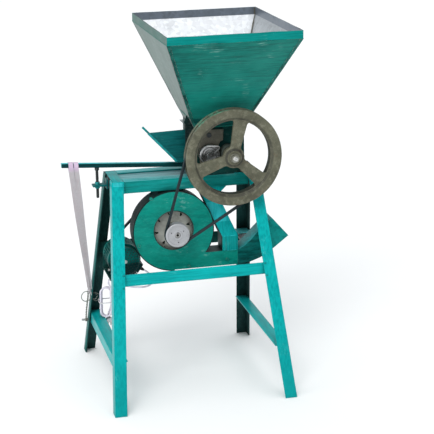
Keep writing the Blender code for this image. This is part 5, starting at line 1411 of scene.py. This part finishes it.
def strip(bm, path, width_at, thick_at, side_at, seed, rows_across=8):
    """A flat rubber strip along a path, a little rolled at its edges, with soft lengthways folds."""
    pts = [Vector(p) for p in path]
    loops = []
    count = len(pts)
    for i, p in enumerate(pts):
        t = i / (count - 1)
        tangent = (pts[min(i + 1, count - 1)] - pts[max(i - 1, 0)]).normalized()
        side = side_at(t)
        side = (side - tangent * side.dot(tangent)).normalized()
        normal = tangent.cross(side)
        w, h = width_at(t) / 2, thick_at(t) / 2
        ring_ = []
        for k in range(rows_across + 1):
            u = -1 + 2 * k / rows_across
            fold = 0.28 * h * noise.noise(Vector((u * 2.2, t * 6, seed))) + 0.6 * h * (abs(u) ** 4)
            ring_.append(p + side * (u * w) + normal * (h * (1 - 0.25 * abs(u) ** 3) + fold))
        for k in range(rows_across, -1, -1):
            u = -1 + 2 * k / rows_across
            fold = 0.28 * h * noise.noise(Vector((u * 2.2, t * 6, seed))) + 0.3 * h * (abs(u) ** 4)
            ring_.append(p + side * (u * w) - normal * (h * (1 - 0.25 * abs(u) ** 3) - fold))
        loops.append([bm.verts.new(q) for q in ring_])
    for one, two in zip(loops, loops[1:]):
        n = len(one)
        for k in range(n):
            bm.faces.new((one[k], one[(k + 1) % n], two[(k + 1) % n], two[k]))
    bm.faces.new(list(reversed(loops[0])))
    bm.faces.new(loops[-1])


bm = bmesh.new()
for index, (x_top, x_knot) in enumerate(((-0.3706, -0.2970), (-0.3532, -0.2890))):
    zc = lever_mid(x_top)
    r_y, r_z = 0.0100, 0.0092
    rear = Vector((x_knot, KNOT.y + 0.002, KNOT.z))
    front = Vector((x_knot + 0.0015, KNOT.y - 0.004, KNOT.z - 0.001))
    loop = [rear]
    for i in range(1, 26):  # up the rear strand
        t = i / 26
        loop.append(rear.lerp(Vector((x_top, r_y + 0.0004, zc - 0.003)), t) + Vector((0.0006 * math.sin(9 * t + index), 0.0014 * math.sin(math.pi * t), 0)))
    corners = [(r_y, zc - 0.0030), (r_y, zc + r_z - 0.0028), (r_y - 0.0030, zc + r_z), (-r_y + 0.0030, zc + r_z), (-r_y, zc + r_z - 0.0028), (-r_y, zc - 0.0055)]
    wrap = [Vector((x_top, y, z)) for y, z in corners]
    loop += smooth_path(wrap, 26)
    for i in range(1, 27):
        t = i / 26
        loop.append(Vector((x_top, -r_y + 0.0006, zc - 0.0075)).lerp(front, t) + Vector((0.0007 * math.sin(7 * t + index), -0.0010 * math.sin(math.pi * t), 0)))
    loop = smooth_path(loop, 150)

    def width(t):
        near = min(t, 1 - t) * 2  # 0 at the knot, 1 on the lever
        return 0.0050 + (0.0150 - 0.0050) * min(1.0, (near * 1.5)) ** 0.8

    def thick(t):
        near = min(t, 1 - t) * 2
        return 0.0030 - 0.0016 * min(1.0, near * 4.0)

    strip(bm, loop, width, thick, lambda t: Vector((1, 0, -0.02)), 3 + 5 * index)
bmesh.ops.recalc_face_normals(bm, faces=bm.faces)
band = make("elastic_band.skin", bm, "elastic", None, smooth=50, replaces=("elastic_band",))
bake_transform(band)

# the knot: the strips' ends turned twice round themselves, with short tails
bm = bmesh.new()
for k in range(3):
    z = KNOT.z + 0.0052 - 0.0058 * k
    ring_ = [(KNOT.x + (0.0058 - 0.0006 * k) * math.cos(a) + 0.0004 * k, KNOT.y - 0.0004 + 0.0050 * math.sin(a), z + 0.0016 * math.sin(a + k)) for a in [2 * math.pi * i / 24 for i in range(24)]]
    tube(bm, ring_, lambda t, k=k: 0.0026 + 0.0004 * math.sin(11 * t + k), 10, cyclic=True)
tube(bm, smooth_path([(KNOT.x - 0.001, KNOT.y, KNOT.z + 0.006), (KNOT.x + 0.001, KNOT.y, KNOT.z - 0.004), (KNOT.x + 0.004, KNOT.y - 0.002, KNOT.z - 0.014), (KNOT.x + 0.009, KNOT.y - 0.004, KNOT.z - 0.028)], 24), lambda t: 0.0040 - 0.0018 * t, 10)
tube(bm, smooth_path([(KNOT.x, KNOT.y, KNOT.z), (KNOT.x - 0.003, KNOT.y + 0.001, KNOT.z - 0.010), (KNOT.x - 0.0005, KNOT.y + 0.003, KNOT.z - 0.020)], 18), lambda t: 0.0036 - 0.0016 * t, 10)
bmesh.ops.recalc_face_normals(bm, faces=bm.faces)
make("elastic_knot", bm, "elastic", smooth=60)

# ------------------------------------------------------------------ wire: twisted pair from the knot to the pin, a ring and loose turns
bm = bmesh.new()
spine = smooth_path([(-0.2990, 0.2150, 0.2540), (-0.2985, 0.2190, 0.2360), (-0.3030, 0.2310, 0.1900), (-0.3045, 0.2440, 0.1520), (-0.3045, 0.2495, 0.1400)], 130)
_, spine_frames = frame_along(spine)
for phase in (0.0, math.pi):
    line = []
    for i, (p, (t, n, b)) in enumerate(zip(spine, spine_frames)):
        a = phase + i * 0.38
        line.append(p + (n * math.cos(a) + b * math.sin(a)) * 0.0019)
    tube(bm, line, 0.0014, 8)
# eye round the pin
tube(bm, [(-0.3045 + 0.0010 * math.sin(a), 0.2550 + 0.0060 * math.sin(a), 0.1350 + 0.0060 * math.cos(a)) for a in [2 * math.pi * i / 28 for i in range(28)]], 0.0014, 8, cyclic=True)
tube(bm, [(-0.3015 - 0.0006 * math.sin(a), 0.2550 + 0.0059 * math.sin(a), 0.1350 + 0.0059 * math.cos(a)) for a in [2 * math.pi * i / 28 for i in range(28)]], 0.0014, 8, cyclic=True)
# ring hooked through the knot
ring_c = Vector((-0.3050, 0.2140, 0.2360))
tube(bm, [ring_c + Vector((0.0180 * math.cos(a), 0.0040 * math.cos(a + 0.6), 0.0190 * math.sin(a))) for a in [2 * math.pi * i / 56 for i in range(56)]], 0.0016, 10, cyclic=True)
# two slack turns lying against it
for seed, size in ((1, 0.0125), (2, 0.0100), (3, 0.0140)):
    c = ring_c + Vector((0.020 + 0.005 * seed, -0.006 + 0.003 * seed, 0.006 - 0.004 * seed))
    tube(bm, [c + Vector((size * math.cos(a) * (1 + 0.15 * noise.noise(Vector((a, seed, 0)))), 0.005 * math.sin(2 * a + seed), size * math.sin(a))) for a in [0.3 * seed + 5.6 * i / 40 for i in range(41)]], 0.0009, 8)
bmesh.ops.recalc_face_normals(bm, faces=bm.faces)
make("wire_tie.skin", bm, "wire", smooth=60, replaces=("wire_tie",))
bm = bmesh.new()
revolve(bm, [(0, -0.3190), (0.0032, -0.3190), (0.0040, -0.3182), (0.0040, -0.2620), (0.0034, -0.2610), (0, -0.2610)], (0.2550, 0.1350), 28, axis="X")
bmesh.ops.recalc_face_normals(bm, faces=bm.faces)
make("band_pin.skin", bm, "steel", replaces=("band_pin",))

# ------------------------------------------------------------------ motor
MX, MZ = MOTOR
bm = bmesh.new()
for y0, y1, r0, r1 in ((0.0100, 0.0235, 0.0560, 0.0560), (0.0945, 0.1080, 0.0560, 0.0560)):
    revolve(bm, [(0.0440, y0), (r0 - 0.0016, y0), (r0, y0 + 0.0014), (r1, y1 - 0.0010), (r1 - 0.0010, y1), (0.0440, y1)], MOTOR, 96, closed=True)
revolve(bm, [(0.0085, 0.1075), (0.0400, 0.1075), (0.0470, 0.1070), (0.0470, 0.1092), (0.0400, 0.1110), (0.0240, 0.1120), (0.0215, 0.1130), (0.0205, 0.1180), (0.0085, 0.1180)], MOTOR, 80, closed=True)
FIN = 36
outline = []
for k in range(FIN):
    a0 = 2 * math.pi * k / FIN
    for off, r in ((-0.30, 0.0508), (-0.12, 0.0548), (-0.06, 0.0556), (0.06, 0.0556), (0.12, 0.0548), (0.30, 0.0508)):
        a = a0 + off * 2 * math.pi / FIN
        outline.append((MX + r * math.cos(a), MZ + r * math.sin(a)))
prism(bm, outline, 0.0225, 0.0955)
bmesh.ops.recalc_face_normals(bm, faces=bm.faces)
make("motor_body.skin", bm, "motor", smooth=30, replaces=("motor_body",))
# cowl with its grille of slots
bm = bmesh.new()
revolve(bm, [(0.0470, 0.0125), (0.0485, 0.0125), (0.0485, -0.0105), (0.0476, -0.0132), (0.0450, -0.0150), (0.0060, -0.0150), (0.0060, -0.0135), (0.0440, -0.0135), (0.0462, -0.0125), (0.0470, -0.0100)], MOTOR, 96, closed=True)
bmesh.ops.recalc_face_normals(bm, faces=bm.faces)
cowl = make("motor_cowl", bm, "motor", smooth=30)
for radius, count in ((0.0155, 8), (0.0245, 14), (0.0335, 20), (0.0415, 26)):
    drilled(cowl, MOTOR, radius, count, 0.0024, -0.0170, -0.0100, 0.1)
bm = bmesh.new()
revolve(bm, [(0.0, -0.0155), (0.0050, -0.0155), (0.0062, -0.0148), (0.0062, -0.0120), (0.0, -0.0120)], MOTOR, 32)
for k in range(3):
    a = math.radians(90 + 120 * k)
    hex_bolt(bm, (MX + 0.0488 * math.cos(a), 0.0010, MZ + 0.0488 * math.sin(a)), (math.cos(a), 0, math.sin(a)), 0.0052, 0.0024)
bmesh.ops.recalc_face_normals(bm, faces=bm.faces)
make("motor_cowl_screws", bm, "zinc", smooth=28)
bm = bmesh.new()
revolve(bm, [(0.0040, -0.0085), (0.0430, -0.0085), (0.0430, -0.0075), (0.0040, -0.0075)], MOTOR, 48, closed=True)
for k in range(9):
    a = 2 * math.pi * k / 9
    c, s = math.cos(a), math.sin(a)
    corners = [(0.012, -0.0004), (0.042, -0.0004), (0.042, 0.0008), (0.012, 0.0008)]
    low = [bm.verts.new((MX + r * c - w * s, -0.0075, MZ + r * s + w * c)) for r, w in corners]
    high = [bm.verts.new((MX + r * c - w * s, 0.0080, MZ + r * s + w * c)) for r, w in corners]
    bm.faces.new(low)
    bm.faces.new(list(reversed(high)))
    for q in range(4):
        bm.faces.new((low[q], high[q], high[(q + 1) % 4], low[(q + 1) % 4]))
bmesh.ops.recalc_face_normals(bm, faces=bm.faces)
make("motor_fan", bm, "grommet", "motor_rotor", smooth=30)
# feet, pressed from strip, with bolts
bm = bmesh.new()
foot = [(-0.2440, 0.3584), (-0.1580, 0.3584), (-0.1580, 0.3622), (-0.1690, 0.3634), (-0.1740, 0.3680), (-0.1770, 0.3790), (-0.2250, 0.3790), (-0.2280, 0.3680), (-0.2330, 0.3634), (-0.2440, 0.3622)]
for y0, y1 in ((0.0130, 0.0330), (0.0850, 0.1050)):
    prism(bm, rounded(foot, 0.002, 3), y0, y1)
bmesh.ops.recalc_face_normals(bm, faces=bm.faces)
make("motor_feet", bm, "motor", bevel=0.0006)
bm = bmesh.new()
for x in (-0.2385, -0.1635):
    for y in (0.0230, 0.0950):
        hex_bolt(bm, (x, y, 0.3630), (0, 0, 1), 0.0080, 0.0042, 0.0058)
        hex_bolt(bm, (x, y, 0.3528), (0, 0, -1), 0.0085, 0.0040, 0.0, 0.0045)
bmesh.ops.recalc_face_normals(bm, faces=bm.faces)
make("motor_foot_bolts", bm, "zinc", smooth=25)
# terminal box towards the lead, and its lid
box_dir = Vector((0.82, 0.0, -0.57)).normalized()
box_up = Vector((0.57, 0.0, 0.82)).normalized()
bm = bmesh.new()


def slab(bm, near, far, half_up, y0, y1):
    centre = Vector((MX, 0, MZ))
    pts = []
    for y in (y0, y1):
        for r, u in ((near, -half_up), (far, -half_up), (far, half_up), (near, half_up)):
            p = centre + box_dir * r + box_up * u
            pts.append(bm.verts.new((p.x, y, p.z)))
    bm.faces.new(pts[:4])
    bm.faces.new(list(reversed(pts[4:])))
    for k in range(4):
        bm.faces.new((pts[k], pts[4 + k], pts[4 + (k + 1) % 4], pts[(k + 1) % 4]))


slab(bm, 0.0480, 0.0645, 0.0165, 0.0110, 0.0620)
bmesh.ops.recalc_face_normals(bm, faces=bm.faces)
make("motor_terminal_box", bm, "motor", bevel=0.0018, segments=3)
bm = bmesh.new()
slab(bm, 0.0647, 0.0665, 0.0175, 0.0100, 0.0630)
bmesh.ops.recalc_face_normals(bm, faces=bm.faces)
make("motor_terminal_lid", bm, "grommet", bevel=0.0008)
GLAND = Vector((-0.1530, 0.0300, 0.3900))
bm = bmesh.new()
profile = [(0.0032, 0.0070), (0.0070, 0.0070), (0.0078, 0.0076), (0.0078, 0.0110), (0.0070, 0.0118)]
for k in range(4):
    z = 0.0125 + 0.0031 * k
    r = 0.0066 - 0.0007 * k
    profile += [(r, z), (r, z + 0.0018), (r - 0.0011, z + 0.0021), (r - 0.0011, z + 0.0029)]
profile += [(0.0038, 0.0253), (0.0032, 0.0253)]
rot = Vector((0, 0, 1)).rotation_difference(box_dir).to_matrix().to_4x4()
revolve(bm, profile, (0.0, 0.0), 32, axis="Z", closed=True)
bmesh.ops.transform(bm, matrix=Matrix.Translation(GLAND) @ rot, verts=bm.verts)
bmesh.ops.recalc_face_normals(bm, faces=bm.faces)
make("lead_gland.skin", bm, "grommet", smooth=30, replaces=("lead_gland",))

# ------------------------------------------------------------------ capacitor in its strap
CX, CZ = 0.2460, 0.4330
turned_piece(
    "capacitor.skin",
    [(0, 0.1090), (0.0150, 0.1090), (0.0164, 0.1096), (0.0170, 0.1110), (0.0170, 0.1585), (0.0160, 0.1600), (0, 0.1600)],
    (CX, CZ), "capacitor", steps=64, smooth=35, replaces=("capacitor",),
)
bm = bmesh.new()
for dx in (-0.0055, 0.0055):
    prism(bm, [(CX + dx - 0.0022, CZ - 0.0006), (CX + dx + 0.0022, CZ - 0.0006), (CX + dx + 0.0022, CZ + 0.0006), (CX + dx - 0.0022, CZ + 0.0006)], 0.1082, 0.1092)
revolve(bm, [(0.0171, 0.1300), (0.0175, 0.1300), (0.0175, 0.1380), (0.0171, 0.1380)], (CX, CZ), 64, closed=True)
bmesh.ops.recalc_face_normals(bm, faces=bm.faces)
make("capacitor_strap", bm, "zinc", smooth=30)

# the shelf takes the top flanges' lighter teal, painted light
bm = bmesh.new()
prism(bm, [(CX - 0.0260, 0.4512), (CX + 0.0240, 0.4512), (CX + 0.0240, 0.4537), (CX - 0.0260, 0.4537)], 0.1060, 0.1600)
bmesh.ops.recalc_face_normals(bm, faces=bm.faces)
make("capacitor_shelf", bm, "flange", bevel=0.0004)
# ledge where the chute's halves meet, and a patch of filler over the left leg's top, both in bright teal as painted
# highlights
bm = bmesh.new()
weld_bead(bm, (0.1130, -0.1000, 0.5105), (0.1650, -0.1000, 0.5105), 0.0019, 5)
weld_bead(bm, (0.1245, -0.0999, 0.4610), (0.1640, -0.1002, 0.4610), 0.0017, 6)
bmesh.ops.recalc_face_normals(bm, faces=bm.faces)
make("chute_beads", bm, "teal_bright", smooth=50)
bm = bmesh.new()
for k, z in enumerate((0.7065, 0.7105, 0.7140)):
    weld_bead(bm, (-0.2460, -0.0835 + 0.0008 * k, z), (-0.2140, -0.0835 + 0.0008 * k, z - 0.001), 0.0026, 31 + k)
bmesh.ops.recalc_face_normals(bm, faces=bm.faces)
make("leg_top_filler", bm, "teal_bright", smooth=60)
# ------------------------------------------------------------------ the motor's lead: out of the gland, down, back and hung up as a hank
LEAD_D = 0.0060
exit_at = GLAND + box_dir * 0.0253
lead = [exit_at, exit_at + box_dir * 0.006, exit_at + box_dir * 0.0125, Vector((-0.1090, 0.0280, 0.3550)), Vector((-0.1070, 0.0160, 0.3390)), Vector((-0.1180, 0.0010, 0.3290)), Vector((-0.1400, -0.0060, 0.3265)), Vector((-0.1680, 0.0040, 0.3250)), Vector((-0.1960, 0.0380, 0.3220)), Vector((-0.2200, 0.0880, 0.3180)), Vector((-0.2330, 0.1360, 0.3160)), Vector((-0.2335, 0.1590, 0.2960)), Vector((-0.2265, 0.1612, 0.2780))]
HX, Z_LOW, Z_HIGH, R_TURN, Y_FIRST, PITCH, TURNS = -0.2400, 0.1905, 0.2595, 0.0185, 0.1625, 0.0064, 5
run, arc = Z_HIGH - Z_LOW, math.pi * R_TURN
per_turn = 2 * (run + arc)
coil = []
for turn in range(TURNS):
    fan_x, fan_z = 0.0014 * (turn - 2), -0.0016 * turn
    for k in range(40):
        s = per_turn * k / 40
        fan_x, fan_z = 0.0022 * (turn + k / 40 - 2.5), -0.0016 * (turn + k / 40)
        y = Y_FIRST + PITCH * (turn + k / 40)
        if s < run:
            coil.append(Vector((HX + R_TURN + fan_x, y, Z_HIGH - s + fan_z)))
        elif s < run + arc:
            a = (s - run) / R_TURN
            coil.append(Vector((HX + R_TURN * math.cos(a) + fan_x, y, Z_LOW - R_TURN * math.sin(a) + fan_z)))
        elif s < 2 * run + arc:
            coil.append(Vector((HX - R_TURN + fan_x, y, Z_LOW + (s - run - arc) + fan_z)))
        else:
            a = (s - 2 * run - arc) / R_TURN
            coil.append(Vector((HX - R_TURN * math.cos(a) + fan_x, y, Z_HIGH + R_TURN * math.sin(a) + fan_z)))
y_last = Y_FIRST + PITCH * TURNS
tail = [Vector((HX + R_TURN + 0.0055, y_last, Z_HIGH - 0.0080)), Vector((HX + R_TURN + 0.0052, y_last + 0.0006, 0.2280)), Vector((-0.2175, 0.1960, 0.2110)), Vector((-0.2215, 0.1980, 0.1960)), Vector((-0.2262, 0.1990, 0.1815)), Vector((-0.2300, 0.1986, 0.1735)), Vector((-0.2310, 0.1978, 0.1690))]
whole = smooth_path(lead + coil + tail, 460)
bm = bmesh.new()
tube(bm, whole, LEAD_D / 2, 14)
bmesh.ops.recalc_face_normals(bm, faces=bm.faces)
lead_obj = make("lead", bm, "cable", smooth=60, replaces=("lead_tube", "lead_hank"))

# plug: a moulded two-pin body hanging under the hank, its sleeve leaning back to the lead
bm = bmesh.new()
body = [(-0.2440, 0.1480), (-0.2420, 0.1545), (-0.2365, 0.1590), (-0.2255, 0.1590), (-0.2200, 0.1545), (-0.2180, 0.1480), (-0.2185, 0.1440), (-0.2435, 0.1440)]
prism(bm, rounded(body, 0.0020, 4), 0.1760, 0.1960)
bmesh.ops.recalc_face_normals(bm, faces=bm.faces)
plug_body = make("plug.skin", bm, "plug", bevel=0.0022, segments=3, replaces=("plug",))
bm = bmesh.new()
sleeve = smooth_path([(-0.2310, 0.1975, 0.1712), (-0.2310, 0.1972, 0.1670), (-0.2310, 0.1950, 0.1610), (-0.2310, 0.1890, 0.1530)], 40)
tube(bm, sleeve, lambda t: (0.0040 + 0.0022 * t) * (1.0 if int(t * 12) % 2 else 0.88), 18)
bmesh.ops.recalc_face_normals(bm, faces=bm.faces)
plug_sleeve = make("plug_sleeve", bm, "plug", smooth=40)
bm = bmesh.new()
for x in (-0.2365, -0.2255):
    prism(bm, rounded([(x - 0.0032, 0.1445), (x + 0.0032, 0.1445), (x + 0.0032, 0.1305), (x - 0.0032, 0.1305)], 0.0008, 3), 0.1853, 0.1868)
bmesh.ops.recalc_face_normals(bm, faces=bm.faces)
plug_pins = make("plug_pins", bm, "zinc", smooth=30, bevel=0.0002)

# cable tie pulled round the hank's waist
bm = bmesh.new()
tie_z, tie = 0.2250, []
for k in range(48):
    a = 2 * math.pi * k / 48
    c, s = math.cos(a), math.sin(a)
    x = HX + (abs(c) ** 0.35) * (1 if c > 0 else -1) * (R_TURN + 0.0088)
    y = (Y_FIRST + y_last) / 2 + 0.0004 + (abs(s) ** 0.45) * (1 if s > 0 else -1) * (PITCH * TURNS / 2 + 0.0040)
    tie.append(Vector((x, y, tie_z + 0.0015 * math.sin(a))))
rings = []
for i, p in enumerate(tie):
    t = (tie[(i + 1) % 48] - tie[i - 1]).normalized()
    out = Vector((t.y, -t.x, 0)).normalized()
    rings.append([bm.verts.new(p + out * o + Vector((0, 0, z))) for o, z in ((-0.0005, -0.0018), (0.0005, -0.0018), (0.0005, 0.0018), (-0.0005, 0.0018))])
for i, one in enumerate(rings):
    two = rings[(i + 1) % len(rings)]
    for k in range(4):
        bm.faces.new((one[k], one[(k + 1) % 4], two[(k + 1) % 4], two[k]))
bmesh.ops.recalc_face_normals(bm, faces=bm.faces)
lead_tie = make("lead_tie", bm, "plug", smooth=40)

# ------------------------------------------------------------------ welds and bolts on the frame
def leg_corner(sx, sy, z):
    t = (0.718 - z) / 0.718
    return Vector((sx * (0.25 + 0.056 * t), sy * (0.08 + 0.24 * t), z))


bm = bmesh.new()
for sx in (-1, 1):
    # front rail against the legs' front flanges, top and bottom edges and its end
    for z in (0.3905, 0.4295):
        p = leg_corner(sx, -1, z)
        weld_bead(bm, (p.x - sx * 0.0390, p.y - 0.0005, z), (p.x - sx * 0.0300, p.y - 0.0005, z), 0.0022, 3 + sx)
    for z0, z1 in ((0.6800, 0.7160),):
        a, b = leg_corner(sx, -1, z0), leg_corner(sx, -1, z1)
        weld_bead(bm, (a.x - sx * 0.0405, a.y + 0.0015, z0), (b.x - sx * 0.0405, b.y + 0.0005, z1), 0.0024, 7 + sx)
        a, b = leg_corner(sx, 1, z0), leg_corner(sx, 1, z1)
        weld_bead(bm, (a.x - sx * 0.0405, a.y - 0.0015, z0), (b.x - sx * 0.0405, b.y - 0.0005, z1), 0.0024, 9 + sx)
    # side braces inside the legs' side flanges
    for sy in (-1, 1):
        for z in (0.1300, 0.1680):
            p = leg_corner(sx, sy, z)
            weld_bead(bm, (p.x - sx * 0.0050, p.y - sy * 0.0390, z), (p.x - sx * 0.0050, p.y - sy * 0.0270, z), 0.0020, 11 + sx + sy)
# table plate to the rails, chamber foot to the plate
for x0, x1, y in ((0.030, 0.190, -0.0780), (0.030, 0.190, 0.0780)):
    weld_bead(bm, (x0, y, 0.7187), (x0 + 0.03, y, 0.7187), 0.0021, 21)
    weld_bead(bm, (x1 - 0.03, y, 0.7187), (x1, y, 0.7187), 0.0021, 23)
bmesh.ops.recalc_face_normals(bm, faces=bm.faces)
make("frame_welds", bm, "weld", smooth=50)

bm = bmesh.new()
for x, z in ((0.1890, 0.8700), (0.1890, 0.7280)):  # chamber plates to their tie rods, clear of the swinging arms
    if x > 0.1 or z < 0.8:
        hex_bolt(bm, (x, -0.0781, z), (0, -1, 0), 0.0085, 0.0045, 0.0062, 0.0040, turn=x * 50)
    hex_bolt(bm, (x, 0.0781, z), (0, 1, 0), 0.0085, 0.0045, 0.0062, 0.0040, turn=x * 30)
for x, y in ((0.0180, -0.0650), (0.0180, 0.0650), (0.2030, -0.0650), (0.2030, 0.0650)):
    hex_bolt(bm, (x, y, 0.7138), (0, 0, 1), 0.0085, 0.0045, 0.0065, 0.0040, turn=x * 40)
for z in (0.5930, 0.6420):  # hanger
    pass
bmesh.ops.recalc_face_normals(bm, faces=bm.faces)
make("chamber_bolts", bm, "nut", smooth=25)


# ------------------------------------------------------------------ every CAD node still shown gets its material
FALLBACK = {
    "teal_paint": "teal_z", "green_paint": "green_x", "cast_iron": "iron", "galvanised": "galv", "aluminium": "alu_roll", "steel": "steel",
    "black_rubber": "rubber", "motor_paint": "motor", "pink_rubber": "elastic", "white_cable": "cable", "grey_plastic": "grey", "black_paint": "black",
}
for node, obj in NODES.items():
    material = M[FALLBACK[NODE_SLOT[node]]]
    for slot_ in obj.material_slots:
        slot_.material = material
    if not obj.material_slots:
        obj.data.materials.append(material)
